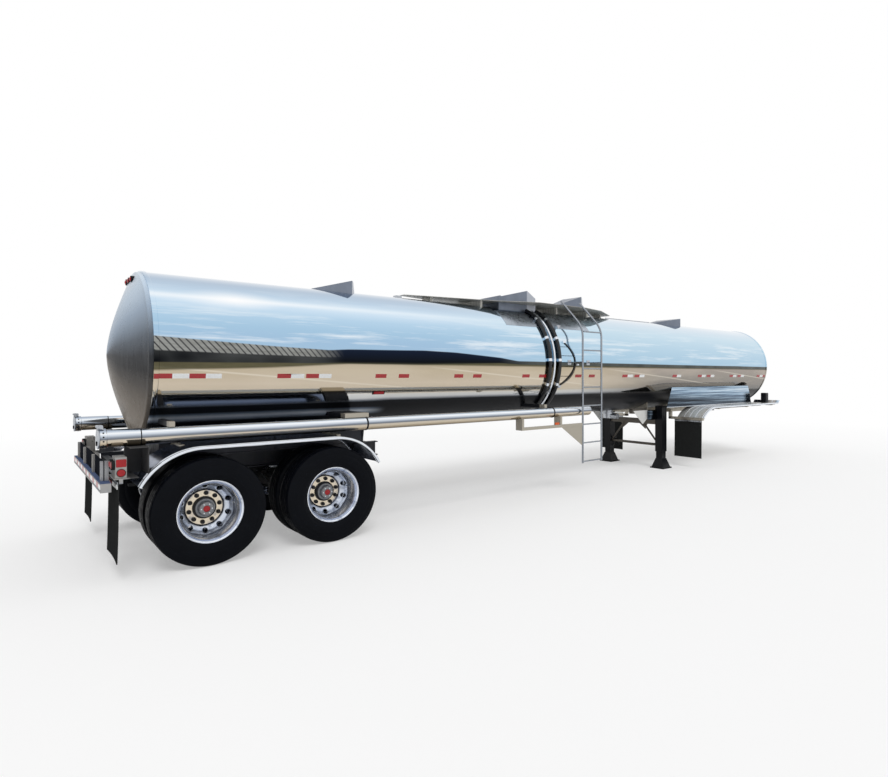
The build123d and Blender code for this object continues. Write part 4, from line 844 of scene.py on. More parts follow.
def head_profile(tank, rim):
    """The rear head's section: a lip curls out from the rim, then a soft cone runs to the middle."""
    rear, lip, step = ahead(tank.rear), 0.04, 0.018
    share = np.linspace(0, 1, 12)
    profile = [(rear + 0.001, 0), (rear + 0.001, rim)]
    profile += zip(rear - lip * (1 - (1 - share) ** 2) ** 0.5, rim - step * share ** 2)
    cone = np.linspace(0, 1, 30)[1:]
    depth = lip + (tank.rear_head - 0.052) * cone * (1.35 - 0.35 * cone ** 2)
    return profile + list(zip(rear - depth, (rim - step) * (1 - cone)))


class TRAILER_OT_tank(bpy.types.Operator):
    """Build the jacket with its rim bands, the rear head and the domed front head"""

    bl_idname = "trailer.tank"
    bl_label = "Tank"

    def execute(self, context):
        """Profiles turned round the tank's axis; the dome is an ellipse and the rear head a soft cone."""
        tank = context.scene.trailer_tank
        centre, rim, front = (0, 0, tank.height), tank.radius - 0.006, ahead(tank.front)
        jacket = turned(jacket_profile(tank), "x", centre, 256, ring=True)
        piece("jacket", [(jacket, "polished_jacket")], replaces=("tank_shell",), sharp=40)
        head = turned(head_profile(tank, rim), "x", centre, 192)
        piece("rear_head_face", [(head, "satin_head")], replaces=("rear_head",), sharp=50)
        bend = np.linspace(0, np.pi / 2, 40)
        dome = [(front - 0.001, 0)] + list(zip(front + tank.front_head * np.sin(bend), rim * np.cos(bend)))
        piece("front_dome", [(turned(dome, "x", centre, 192), "polished_jacket")],
              replaces=("front_head",), sharp=50)
        return {"FINISHED"}


class TRAILER_OT_tape(bpy.types.Operator):
    """Lay the red and white marking tape along both sides and across the bumper"""

    bl_idname = "trailer.tape"
    bl_label = "Marking Tape"

    def execute(self, context):
        """Thin plates bent on the jacket at one height, one for each mark of the table."""
        tank = context.scene.trailer_tank
        middle = np.degrees(np.arcsin((tank.tape_height - tank.height) / tank.radius))
        half = np.degrees(tank.tape_width / 2 / tank.radius)

        def mark(start, end, stand=0.0):
            place = (ahead(start), ahead(end))
            return both(sheet_on_shell(place, (middle - half, middle + half), tank.radius + stand, TAPE))

        ends = [(start, min(start + MARK, tank.front - 0.010), more) for start, more in TAPE_MARKS]
        red = [mark(start, end) for start, end, _ in ends]
        white = [mark(end, end + MARK) for _, end, more in ends if more]
        red.append(mark(-0.419, -0.374, BEAD))
        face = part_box("rear_bumper")[0][0] - TAPE
        edges = np.linspace(-1.19, 1.19, 17)
        for number, (a, b) in enumerate(zip(edges[:-1], edges[1:])):
            strip = block((face, a, 0.832), (face + 0.002, b, 0.872), 0.0006)
            (red if number % 2 else white).append(strip)
        rear, low, high = ahead(-0.7680), 0.834, 0.871
        for marks, outer, inner in ((red, -0.980, -0.690), (white, -1.270, -0.980)):
            marks.append(both(block((rear, outer, low), (rear + 0.009, inner, high), 0.0006)))
        piece("marking_tape", [(joined(red), "red_tape"), (joined(white), "white_tape")])
        return {"FINISHED"}


class TRAILER_OT_drain_lines(bpy.types.Operator):
    """Build the two black drain hoses, the bright drain pipe and their clips"""

    bl_idname = "trailer.drain_lines"
    bl_label = "Drain Lines"

    def execute(self, context):
        """Round sections carried along arcs beside the jacket: r = jacket + gap + line's radius."""
        tank = context.scene.trailer_tank
        lines = (("drain_hoses", "rubber", "hose_rubber", (5.000, 5.220), 0.030),
                 ("drain_pipe", "polished_tube", "bright_sheet", (5.110,), 0.020))
        for node, slot, finish, places, radius in lines:
            arcs = [(66, -48, 90, radius, finish)]
            arcs += [(bend - 1.3, bend + 1.3, 5, radius + 0.003, "chrome_clip") for bend in (48, 24, 2, -22)]
            made = []
            for place in places:
                for start, end, steps, thick, look in arcs:
                    turn = np.radians(np.linspace(start, end, steps))
                    path = on_shell(ahead(place), turn, tank.radius + 0.0003 + radius)
                    made.append((carried(path, circle(thick, 20), (1, 0, 0)), look))
            piece(node + "_dressed", made, replaces=(node,))
        return {"FINISHED"}


def tube_across(x, path, radius, sides):
    """A round tube along a path (y, z) at one place along the trailer."""
    return carried(np.column_stack([np.full(len(path), x), path]), circle(radius, sides), (1, 0, 0))


class TRAILER_OT_ladder(bpy.types.Operator):
    """Build the ladder's bent rails and its rungs"""

    bl_idname = "trailer.ladder"
    bl_label = "Ladder"

    def execute(self, context):
        """Round sections carried up, round a bend and in over the walkway; rungs run straight between."""
        low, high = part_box("ladder_rails")
        tube = LADDER["tube"]
        out, stay, bend, inner = low[1] + tube, 2.05, 2.600, -0.7163
        path = rounded([(out, low[2]), (out, bend), (inner, high[2] - 0.010)], 0.16, 12, closed=False)
        rails, rungs = [], []
        for x in (ahead(place) for place in LADDER["rails"]):
            cap = turned([(-0.004, 0), (-0.004, tube * 0.9), (0.003, tube * 0.98)], "z", (x, out, low[2]), 20)
            foot = sheet_on_shell((x - 0.04, x + 0.04), (-2.5, 2.5), 0.9, 0.004)
            rails += [(tube_across(x, path, tube, 20), "ladder_tube"), (cap, "soft_rubber"),
                      (tube_across(x, [(out, stay), (-0.9, stay)], 0.010, 14), "ladder_tube"),
                      (foot, "satin_steel")]
        first, last = (ahead(place) for place in LADDER["rails"])
        for number in range(LADDER["rungs"]):
            height = LADDER["first"] + number * LADDER["step"]
            run = [(x, out, height) for x in np.linspace(first + tube * 0.6, last - tube * 0.6, 12)]
            rungs.append((carried(run, circle(LADDER["rung"], 16), (0, 0, 1)), "ladder_tube"))
        piece("ladder_rails_bent", rails, replaces=("ladder_rails",))
        piece("ladder_rungs_round", rungs, replaces=("ladder_rungs",))
        return {"FINISHED"}


def hose_tube(tank, node, centre):
    """A hollow tube with its collar, straps and vent holes, and the ears and rod of its hinge."""
    low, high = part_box(node)
    _, y, height = centre
    rear, front, radius = ahead(TUBE_REAR), high[0], tank.tube_radius
    collar, sleeve = 0.0885, radius + 0.004
    profile = [(rear, 0.069), (rear, collar - 0.003), (rear + 0.003, collar), (rear + 0.050, collar),
               (rear + 0.054, collar - 0.003), (rear + 0.056, sleeve), (rear + 0.312, sleeve),
               (rear + 0.314, radius)]
    profile += [(station, radius) for station in np.linspace(rear + 0.34, front - 0.02, 24)]
    profile += [(front - 0.006, radius - 0.002), (front, radius - 0.010), (front, 0.0), (front - 0.010, 0.0),
                (front - 0.010, 0.068), (rear + 0.05, 0.068)]
    parts = [(turned(profile, "x", centre, 64, ring=True), "polished_tube")]
    for place, width, stand in TUBE_RINGS:
        start, inner, outer = ahead(place), radius - 0.001, radius + stand
        band = [(start, inner), (start, outer), (start + width, outer), (start + width, inner)]
        parts.append((turned(band, "x", centre, 64, ring=True), "chassis_black"))
    hole, faces = slab(circle(0.0075, 12), collar - 0.002, collar + 0.0008, "z", 0.0004)
    for turn in np.linspace(0, 2 * np.pi, 14, endpoint=False):
        spin = np.array([[1, 0, 0], [0, np.cos(turn), np.sin(turn)], [0, -np.sin(turn), np.cos(turn)]])
        parts.append(((hole @ spin + (rear + 0.027, y, height), faces), "soft_rubber"))
    pin, hinge = low[0] + 0.013, height + HINGE
    outline = rounded([(pin - 0.012, hinge - 0.006), (rear + 0.03, height + radius + 0.004),
                       (rear + 0.03, hinge + 0.010), (pin - 0.006, hinge + 0.012)], 0.006)
    for ear in (y - 0.031, y + 0.031):
        parts.append((slab(outline, ear - 0.009, ear + 0.009, "y", 0.002), "satin_steel"))
    rod = [(-0.042, 0), (-0.042, 0.007), (-0.036, 0.009), (0.036, 0.009), (0.042, 0.007), (0.042, 0)]
    return parts + [(turned(rod, "y", (pin, y, hinge), 16), "satin_steel")]


def tube_door(node, centre):
    """A round door with a raised rim and middle, its hinge strap and knuckle, and a handle."""
    low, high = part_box(node)
    _, y, height = centre
    back, face, hinge = high[0], low[0] + 0.010, height + HINGE
    profile = [(back, 0), (back, 0.088), (back - 0.003, 0.090), (face + 0.003, 0.090), (face, 0.087),
               (face, 0.072), (face + 0.003, 0.068), (face + 0.003, 0.030), (face, 0.026), (face, 0)]
    strap = block((face, y - 0.016, height + 0.06), (back, y + 0.016, hinge), 0.003)
    knuckle = [(-0.016, 0.0055), (-0.016, 0.012), (0.016, 0.012), (0.016, 0.0055)]
    handle = block((face - 0.008, y - 0.009, height - 0.06), (face + 0.004, y + 0.009, height - 0.02), 0.003)
    return [(turned(profile, "x", centre, 64), "satin_steel"), (strap, "satin_steel"),
            (turned(knuckle, "y", (low[0] + 0.012, y, hinge), 24, ring=True), "satin_steel"),
            (handle, "chassis_black")]


class TRAILER_OT_hose_tubes(bpy.types.Operator):
    """Build the two hose tubes with their collars, straps, caps and round rear doors"""

    bl_idname = "trailer.hose_tubes"
    bl_label = "Hose Tubes"

    def execute(self, context):
        """Hollow profiles turned round the tubes' axes, with a ring of dark vent holes at the collar."""
        tank = context.scene.trailer_tank
        for name, sign in (("right", -1), ("left", 1)):
            centre = (0, sign * tank.tube_side, tank.tube_height)
            node, door = "hose_tube_" + name, "tube_door_" + name
            piece(node + "_dressed", hose_tube(tank, node, centre), replaces=(node,))
            piece(door + "_dressed", tube_door(door, centre), body=door, replaces=(door,))
        return {"FINISHED"}


def lane(rear, front, radius, top, rear_turn, front_turn=90.0):
    """A fender's path: an arc up over the rear centre, a straight run, and an arc down if the front turns."""
    up = np.radians(np.linspace(180 - rear_turn, 90, 28))
    down = np.radians(np.linspace(90, front_turn, 28 if front_turn < 90 else 1))
    xs = [ahead(rear) + radius * np.cos(up), np.linspace(ahead(rear), ahead(front), 12)[1:-1],
          ahead(front) + radius * np.cos(down)]
    zs = [top - radius + radius * np.sin(up), np.full(10, top), top - radius + radius * np.sin(down)]
    xs, zs = np.concatenate(xs), np.concatenate(zs)
    return np.column_stack([xs, np.zeros(len(xs)), zs])


def fender(path, inner, outer, second, ribs=()):
    """A fender's sheet and its rolled edges: sections (across, up) carried over the path."""
    across = np.linspace(-outer + 0.004, -inner, 30)
    section = np.column_stack([np.concatenate([across, across[::-1]]), np.repeat([0, -0.0035], 30)])
    rolls = [(path, -outer + 0.016, -0.009, 0.0155), (path, -outer + second, -0.003, 0.0100),
             (path, -inner - 0.006, -0.006, 0.006)]
    rolls += [(path[:31], -y, -0.001, 0.0055) for y in ribs]
    edges = [carried(run, circle(radius) + (y, drop), (0, 1, 0)) for run, y, drop, radius in rolls]
    return both(carried(path, section, (0, 1, 0))), both(*edges)


def rear_fenders():
    """One lane over both axles, its bars and their bolts."""
    radius, drop, top, bar, places = 0.6, 0.28, 1.150, 0.050, (-0.2, 0.625, 1.45)
    under = top - 0.004
    reach = np.sqrt(radius ** 2 - drop ** 2)
    turn = np.degrees(np.arctan2(drop, reach))
    sheet, rolls = fender(lane(reach - radius, 1.81 - reach, radius, top, turn, turn), 0.640, 1.290, 0.078)
    bars = [block((ahead(x), -0.9, under - bar), (ahead(x) + bar, -0.48, under)) for x in places]
    bolts = repeated(slab(circle(0.009, 6), 0.0, 0.007, "z", 0.002),
                     [(ahead(x) + bar / 2, y, top) for x in places for y in (-0.70, -0.86)])
    # the sheet's blue-grey is a painted reflection of the tank's underside
    return [(sheet, "fender_deep"), (rolls, "bright_sheet"), (both(*bars), "bare_metal"),
            (both(bolts), "dark_nut")]


def front_fenders():
    """A lane over the drive wheels, its turned-up tip, bars, pads, a box and the rear beam."""
    radius, drop, top, bar, end = 0.7, 0.5, 1.200, 0.050, 12.260
    under, rail, depth = top - 0.004, -0.52, 0.060
    reach = np.sqrt(radius ** 2 - drop ** 2)
    turn = np.degrees(np.arctan2(drop, reach))
    path = lane(8.970 + reach, end, radius, top, turn)
    sheet, rolls = fender(path, 0.690, 1.285, 0.050, (0.833, 0.953, 1.073))
    tip = [(ahead(12.256), under), (ahead(12.262), under), (ahead(12.320), 1.258), (ahead(12.316), 1.260),
           (ahead(12.256), top)]
    bars = [block((ahead(x), -1.2, under - bar), (ahead(x) + bar, rail, under)) for x in (9.70, 10.90, 12.10)]
    pads = [block((ahead(x), -1.268, under - 0.028), (ahead(x) + 0.42, -1.21, under))
            for x in (9.62, 10.3, 11.0, 11.7)]
    box = block((ahead(12.100), -1.06, top), (ahead(12.240), -0.94, 1.43), 0.012)
    rear, low = ahead(8.900), 0.950
    beam = block((rear, -1.285, low), (rear + depth, rail, low + 0.050))
    post = block((rear, rail - depth, low), (rear + depth, rail, 1.152))
    return [(sheet, "fender_satin"), (rolls, "bright_sheet"),
            (both(slab(tip, -1.285, -0.69, "y", 0.001)), "bright_sheet"), (both(*bars), "bare_metal"),
            (both(*pads), "chassis_black"), (both(box), "chassis_black"), (both(beam, post), "bare_metal")]


def front_skirts():
    """Sheets with slanted ends that lean in towards the top: y = side + lean·v², and a round hem."""
    low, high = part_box("front_skirts")
    side, lean = -0.806, 0.012
    rows, columns = np.linspace(0, 1, 14)[:, None], np.linspace(0, 1, 40)
    rear, front = low[0] + 0.200 * rows, high[0] - 0.130 * rows
    face = (rear + (front - rear) * columns, side + lean * rows ** 2, low[2] + (high[2] - low[2]) * rows)
    face = np.stack(np.broadcast_arrays(*face), axis=-1)
    hem = [(x, side, low[2] + 0.008) for x in np.linspace(low[0], high[0], 20)]
    return [(both(closed_sheet(face, face + (0, 0.004, 0))), "ribbed_sheet"),
            (both(carried(hem, circle(0.0075, 10), (0, 1, 0))), "bright_sheet")]


class TRAILER_OT_fenders(bpy.types.Operator):
    """Build the rolled sheets of the rear and front fenders and the bright side skirts"""

    bl_idname = "trailer.fenders"
    bl_label = "Fenders"

    def execute(self, context):
        """A cross-section with rolled edges carried over an arc, a straight run and an arc."""
        piece("rear_fender_sheets", rear_fenders(), replaces=("rear_fenders",))
        piece("front_fender_sheets", front_fenders(), replaces=("front_fenders",))
        piece("front_skirt_sheets", front_skirts(), replaces=("front_skirts",))
        return {"FINISHED"}


def tyre_outline(sizes):
    """A tyre's section (across, radius): bulged wall, rounded shoulder and two grooves, and its mirror."""
    out, rim, half = sizes.tyre_radius, sizes.rim_radius, sizes.tyre_width / 2
    wall = [
        (0.100, rim - 0.004), (0.108, rim + 0.001), (0.113, rim + 0.010), (0.119, rim + 0.016),
        (0.127, rim + 0.030), (0.132, rim + 0.046), (0.1345, rim + 0.050), (0.1355, rim + 0.056),
        (half - 0.001, rim + 0.085), (half, rim + 0.100), (half - 0.0005, rim + 0.118),
        (half - 0.002, rim + 0.136), (half - 0.0045, rim + 0.140), (half - 0.0045, rim + 0.146),
        (half - 0.004, rim + 0.150), (half - 0.009, rim + 0.176), (half - 0.014, rim + 0.190),
        (half - 0.0185, out - 0.021), (half - 0.021, out - 0.013), (half - 0.027, out - 0.007),
        (half - 0.036, out - 0.0035),
    ]
    for middle in (0.072, 0.025):
        wall += [(middle + 0.006, out - 0.001), (middle + 0.0045, out - 0.013),
                 (middle - 0.0045, out - 0.013), (middle - 0.006, out)]
    outline = np.array(wall)
    return np.concatenate([outline, outline[::-1] * (-1, 1)])


class TRAILER_OT_tyres(bpy.types.Operator):
    """Build the twin tyres with their sidewall rings, shoulders and tread grooves"""

    bl_idname = "trailer.tyres"
    bl_label = "Tyres"

    def execute(self, context):
        """A tyre section turned round each axle: bulged walls, rounded shoulders and grooved ribs."""
        sizes = context.scene.trailer_wheels
        outline = tyre_outline(sizes)
        for name, axle, sign in WHEELS:
            middles = [sign * middle for middle in (sizes.tyre_side, sizes.tyre_side - sizes.spacing)]
            made = [turned(outline, "y", (axle, middle, AXLE_HEIGHT), 144, ring=True) for middle in middles]
            node = "tyres_" + name
            piece(node + "_ribbed", [(joined(made), "tyre_rubber")], body="wheel_" + name,
                  replaces=(node,), sharp=38)
        return {"FINISHED"}


def front_level(radius):
    """The disc's outer face at a radius: flat round the hub, then dished outwards."""
    levels = FACE + np.array([0, 0, 0.010, 0.034, 0.072])
    return np.interp(radius, (0.110, 0.172, 0.190, 0.224, 0.256), levels)


def back_level(radius):
    """The disc's inner face, 20 mm behind the outer one."""
    return front_level(radius) - 0.020


def hand_holes(count, sides):
    """The disc's holed band, one grid for each hand hole: from its sector's border to the hole's circle."""
    middle, hole_radius = (0.2235, 0.0), 0.0255
    turn = np.linspace(-np.pi / count, np.pi / count, sides + 1)
    reach = np.linspace(*HOLE_BAND, sides + 1)
    border = [(np.full(sides, reach[0]), turn[:-1]), (reach[:-1], np.full(sides, turn[-1])),
              (np.full(sides, reach[-1]), turn[:0:-1]), (reach[:0:-1], np.full(sides, turn[0]))]
    radius, angle = np.concatenate(border, axis=1)
    flat = np.stack([radius * np.cos(angle), radius * np.sin(angle)], axis=-1)
    ray = (flat - middle) / np.linalg.norm(flat - middle, axis=1, keepdims=True)
    hole, lip = middle + hole_radius * ray, middle + (hole_radius + 0.0025) * ray
    share = np.array([0, 0.35, 0.7, 1.0])[:, None, None]
    front = flat * (1 - share) + lip * share
    rows = np.concatenate([front, [hole, hole], front[::-1]])
    radius = np.linalg.norm(rows, axis=-1)
    mouth = front_level(radius[4:5]) - 0.002
    level = np.concatenate([front_level(radius[:4]), mouth, back_level(radius[5:])])
    patches = []
    for bend in 2 * np.pi * (np.arange(count) + 0.5) / count:
        x = rows[..., 0] * np.cos(bend) - rows[..., 1] * np.sin(bend)
        z = rows[..., 0] * np.sin(bend) + rows[..., 1] * np.cos(bend)
        patches.append(grid(np.stack([x, level, z], axis=-1), round_v=True))
    return patches


def twin_wheel(sizes):
    """A wheel's rim, holed band and mounting ring, and their mirror about the mounting face."""
    rim, edge, sides, (low, high) = sizes.rim_radius, sizes.tyre_side + 0.112, 8, HOLE_BAND
    outer = [(front_level(high), high), (FACE + 0.084, 0.2585), (FACE + 0.100, 0.2605),
             (FACE + 0.118, 0.2618), (edge - 0.060, 0.262), (edge - 0.040, 0.266), (edge - 0.022, 0.272),
             (edge - 0.012, 0.284),
             (edge - 0.006, 0.2905), (edge - 0.001, 0.294), (edge, 0.2975), (edge - 0.002, rim - 0.001),
             (edge - 0.007, rim), (edge - 0.012, rim - 0.003), (edge - 0.018, 0.281), (edge - 0.030, 0.274),
             (edge - 0.19, 0.272), (edge - 0.21, 0.282), (edge - 0.216, rim - 0.001), (edge - 0.222, rim),
             (edge - 0.224, 0.286), (FACE + 0.026, 0.268), (back_level(high), high)]
    inner = [(back_level(low), low), (back_level(0.172), 0.172), (back_level(0.110), 0.1095),
             (FACE - 0.001, 0.1095), (FACE, 0.1105), (FACE, 0.1685), (FACE - 0.0015, 0.1695),
             (FACE - 0.0015, 0.1720), (FACE + 0.001, 0.1735), (front_level(low), low)]
    rings = [turned(profile, "y", (0, 0, 0), sizes.holes * sides) for profile in (outer, inner)]
    wheel = joined(rings + hand_holes(sizes.holes, sides))
    points, faces = mirrored(wheel)
    return joined([wheel, (points + (0, 2 * MOUNT_Y, 0), faces)])


def hub_parts(sizes):
    """Drum, hub, cap, window, bolts and nuts of a left-hand wheel, as (surface, finish) pairs."""
    drum = [(-0.022, 0.0), (-0.0224, 0.190), (-0.040, 0.208), (-0.220, 0.208), (-0.220, 0.196),
            (-0.050, 0.196), (-0.050, 0.0)]
    root = [(-0.020, 0.0), (-0.020, 0.1085), (0.040, 0.1080), (0.046, 0.102), (0.050, 0.092), (0.050, 0.0)]
    nose = [(0.049, 0.0), (0.049, 0.0905), (0.062, 0.090), (0.064, 0.078), (0.070, 0.072), (0.098, 0.070),
            (0.112, 0.064), (0.116, 0.056), (0.116, 0.034), (0.110, 0.032), (0.110, 0.0)]
    window = [(0.108, 0.0), (0.108, 0.031), (0.115, 0.030), (0.118, 0.022), (0.118, 0.0)]
    bolt = [(0.112, 0), (0.112, 0.006), (0.1175, 0.006), (0.1175, 0.0)]
    nut = [(0.021, 0.0), (0.021, 0.0225), (0.026, 0.0225), (0.027, 0.0185), (0.048, 0.0175), (0.054, 0.014),
           (0.056, 0.0)]
    parts = [(turned(profile, "y", (0, MOUNT_Y, 0), steps), finish) for profile, steps, finish in (
        (drum, 72, "axle_black"), (root, 72, "axle_black"), (nose, 72, "hub_grey"), (window, 40, "red_lens"))]
    for profile, count, start, across, up, steps, finish in (
            (bolt, 6, 0.0, 0.049, 0.049, 6, "chrome_clip"),
            (nut, sizes.nuts, 0.2, 0.1425, 0.1429, 12, "dark_nut")):
        turn = np.linspace(0, 2 * np.pi, count, endpoint=False) + start
        places = np.column_stack([across * np.cos(turn), np.zeros(count), up * np.sin(turn)])
        parts.append((repeated(turned(profile, "y", (0, MOUNT_Y, 0), steps), places), finish))
    return parts


def at_wheel(parts, axle, sign):
    """The parts of a left-hand wheel at its axle, mirrored for the right side."""
    sides = [(surface if sign > 0 else mirrored(surface), finish) for surface, finish in parts]
    return [((points + (axle, 0, AXLE_HEIGHT), faces), finish) for (points, faces), finish in sides]


class TRAILER_OT_wheels(bpy.types.Operator):
    """Build the polished twin wheels with their hand holes, the hubs, drums and nuts"""

    bl_idname = "trailer.wheels"
    bl_label = "Wheels and Hubs"

    def execute(self, context):
        """Wheel profiles turned round the axle; each hand hole is a grid between circle and sector."""
        sizes = context.scene.trailer_wheels
        stem = [(FACE + 0.05, 0.0), (FACE + 0.05, 0.004), (FACE + 0.14, 0.004), (FACE + 0.145, 0.0)]
        wheel = [(twin_wheel(sizes), "wheel_alloy"), (turned(stem, "y", (0.242, 0, 0.04), 8), "chrome_clip")]
        hub = hub_parts(sizes)
        for name, axle, sign in WHEELS:
            body, node, inner = "wheel_" + name, "wheels_" + name, "hub_" + name
            piece(node + "_polished", at_wheel(wheel, axle, sign), body=body, replaces=(node,),
                  sharp=40)
            piece(inner + "_dressed", at_wheel(hub, axle, sign), body=body, replaces=(inner,))
        return {"FINISHED"}


class TRAILER_OT_springs(bpy.types.Operator):
    """Build the air springs with their bellows, pistons and plates"""

    bl_idname = "trailer.springs"
    bl_label = "Air Springs"

    def execute(self, context):
        """A bellows profile turned round each spring: radius = middle + swell·|sin|."""
        low, high = 0.655, 0.780
        share = np.linspace(0, 1, 33)
        bulge = 0.094 + 0.023 * np.abs(np.sin(2 * np.pi * share)) ** 0.6
        bellows = [(low, 0.0)] + list(zip(low + (high - low) * share, bulge)) + [(high, 0.0)]
        piston = [(0.6003, 0.0), (0.6003, 0.060), (0.610, 0.070), (0.650, 0.080), (0.665, 0.078),
                  (0.665, 0.0)]
        plate = [(0.775, 0.0), (0.775, 0.098), (0.779, 0.100), (0.796, 0.100), (0.7997, 0.098),
                 (0.7997, 0.0)]
        parts = []
        for axle in (0.0, 1.25):
            for profile, steps, finish in ((bellows, 48, "soft_rubber"), (piston, 40, "axle_black"),
                                           (plate, 40, "satin_steel")):
                spring = turned(profile, "z", (ahead(axle - 0.330), -0.480, 0), steps)
                parts.append((both(spring), finish))
        piece("air_spring_bellows", parts, replaces=("air_springs",))
        return {"FINISHED"}


def round_lamp(axis, centre, radius, depth):
    """A lamp that stands out backwards along its axis: a ring and a crowned lens."""
    ring = [(0, radius), (-depth * 0.75, radius), (-depth * 0.8, radius * 0.93),
            (-depth * 0.6, radius * 0.86), (0, radius * 0.86)]
    bend = np.linspace(0, np.pi / 2, 10)
    dome = [(0, 0), (0, radius * 0.87)]
    dome += zip(-depth * (0.55 + 0.43 * np.sin(bend)), radius * 0.87 * np.cos(bend))
    return turned(ring, axis, centre, 32, ring=True), turned(dome, axis, centre, 32)


class TRAILER_OT_lamps(bpy.types.Operator):
    """Build the lenses, bezels and housings of every lamp"""

    bl_idname = "trailer.lamps"
    bl_label = "Lamps"

    def execute(self, context):
        """Lens profiles turned round each lamp: a rubber ring and a crowned lens."""
        tails = [("x", (ahead(-0.7753), -y, 1.040), 0.042, 0.035) for y in (1.088, 1.188)]
        tails.append(("y", (ahead(-0.732), -1.2383, 0.972), 0.036, 0.0087))
        parts = []
        for ring, dome in (round_lamp(*lamp) for lamp in tails):
            parts += [(both(ring), "soft_rubber"), (both(dome), "red_lens")]
        bar = rectangle((ahead(-0.771), 1.024), (ahead(-0.693), 1.092), 0.008)
        parts.append((both(slab(bar, -1.2469, -1.2383, "y", 0.003)), "red_lens"))
        for y in (-0.15, 0.0, 0.15):
            ring, dome = round_lamp("x", (ahead(-0.4605), y, 2.850), 0.034, 0.058)
            parts += [(ring, "chassis_black"), (dome, "red_lens")]
        low = 1.0853
        marker = rectangle((ahead(4.840), low), (ahead(4.930), low + 0.037), 0.015, 6)
        parts.append((slab(marker, -1.195, -1.175, "y", 0.004), "amber_lens"))
        piece("lamp_lenses", parts, replaces=("lamps",))
        return {"FINISHED"}


def mud_flap(face, outer, inner, low, high):
    """A hanging rubber sheet: x = face + bow·fall²·(1 - (2·across - 1)²) - swing·fall²."""
    across, fall = np.meshgrid(np.linspace(0, 1, 30), np.linspace(0, 1, 34))
    bow = 0.010 * fall ** 2 * (1 - (2 * across - 1) ** 2) - 0.012 * fall ** 2
    hem = 0.0015 * (np.maximum(np.abs(2 * across - 1), np.abs(2 * fall - 1)) > 0.94)
    y, z = outer + (inner - outer) * across, high + (low - high) * fall
    front, back = (np.stack([ahead(face) + bow + step, y, z], axis=-1) for step in (-hem, 0.0075))
    return closed_sheet(front, back)


class TRAILER_OT_flaps(bpy.types.Operator):
    """Build the mud flaps as slightly bowed rubber sheets with a moulded edge"""

    bl_idname = "trailer.flaps"
    bl_label = "Mud Flaps"

    def execute(self, context):
        """A bowed sheet of two parameters with raised edges, clamped by a bar with a row of screws."""
        half, margin = 0.013, 0.040
        flaps, bars, heads = [], [], []
        for face, outer, inner, low, high, rear, front, middle in FLAPS:
            flaps.append(mud_flap(face, outer, inner, low, high))
            bars.append(block((ahead(rear), outer, middle - half),
                              (ahead(front), inner, middle + half), 0.002))
            across = np.linspace(outer + margin, inner - margin, 5)
            heads += [(ahead(rear - 0.0005), y, middle) for y in across]
        screws = repeated(slab(circle(0.010, 6), 0.0, 0.006, "x", 0.002), heads)
        piece("mud_flap_sheets", [(both(*flaps), "soft_rubber"), (both(screws), "dark_nut"),
                                  (both(*bars), "satin_steel")], replaces=("mud_flaps",))
        return {"FINISHED"}


def lid_bolts():
    """A ring of bolt heads on the manhole's lid."""
    heads = [(ahead(4.890) + x, y, 3.0743) for x, y in circle(0.235)]
    return [(repeated(slab(circle(0.012, 6), 0.0, 0.009, "z", 0.003), heads), "chrome_clip")]


def top_trim(tank):
    """Bent plates on the jacket: apron, side lamp and clips, with the bowed line and its wedge."""
    parts = []
    for rear, front, turn, thick, steps, finish in (
            (4.28, 6.18, (38, 63), 0.003, (24, 16), "apron_sheet"),
            (1.99, 2.13, (-29.6, -27.4), 0.012, (6, 6), "red_lens"),
            (1.975, 2.145, (-30.0, -27.0), 0.006, (6, 6), "chassis_black")):
        parts.append((sheet_on_shell((ahead(rear), ahead(front)), turn, tank.radius, thick, steps), finish))
    share = np.linspace(0.0, 1.0, 48)
    x = ahead(5.40 - 0.09 * share) + 0.25 * np.sin(np.pi * share) ** 0.9
    path = on_shell(x, np.radians(21 - 46 * share), tank.radius + 0.009)
    parts.append((carried(path, circle(0.0085, 10), (0, -1, 0.3)), "hose_rubber"))
    for place, turn in ((5.40, (20.0, 22.5)), (5.31, (-26.5, -24.0)), (5.655, (-3.0, -1.5))):
        clip = (ahead(place - 0.03), ahead(place + 0.03))
        parts.append((sheet_on_shell(clip, turn, tank.radius, 0.022, (4, 4)), "chrome_clip"))
    wedge = rounded([(ahead(5.30), 2.655), (ahead(5.40), 2.655), (ahead(5.345), 2.590)], 0.01)
    return parts + [(slab(wedge, -0.780, -0.700, "y", 0.003), "satin_steel")]


def frame_gussets():
    """The web plate, beam and case behind each landing leg."""
    web = [(ahead(7.70), 1.155), (ahead(8.38), 1.155), (ahead(8.30), 1.090), (ahead(8.00), 0.885)]
    beam = block((ahead(7.68), -0.520, 1.100), (ahead(8.160), -0.440, 1.190))
    case = block((ahead(8.14), -0.600, 0.962), (ahead(8.37), -0.5305, 1.157), 0.012)
    plate = slab(rounded(web, 0.012), -0.5295, -0.5195, "y", 0.002)
    return [(both(plate), "web_plate"), (both(beam), "frame_metal"),
            (both(case), "ribbed_sheet")]


class TRAILER_OT_top(bpy.types.Operator):
    """Add the apron plate, the bowed line, a side lamp, the lid's bolts and the frame's gussets"""

    bl_idname = "trailer.top_trim"
    bl_label = "Top Trim"

    def execute(self, context):
        """Bent plates on the jacket, bolt heads on the lid, and plates between leg and frame."""
        piece("lid_bolts", lid_bolts(), body="manhole_lid")
        piece("top_trim", top_trim(context.scene.trailer_tank))
        piece("frame_gussets", frame_gussets())
        return {"FINISHED"}


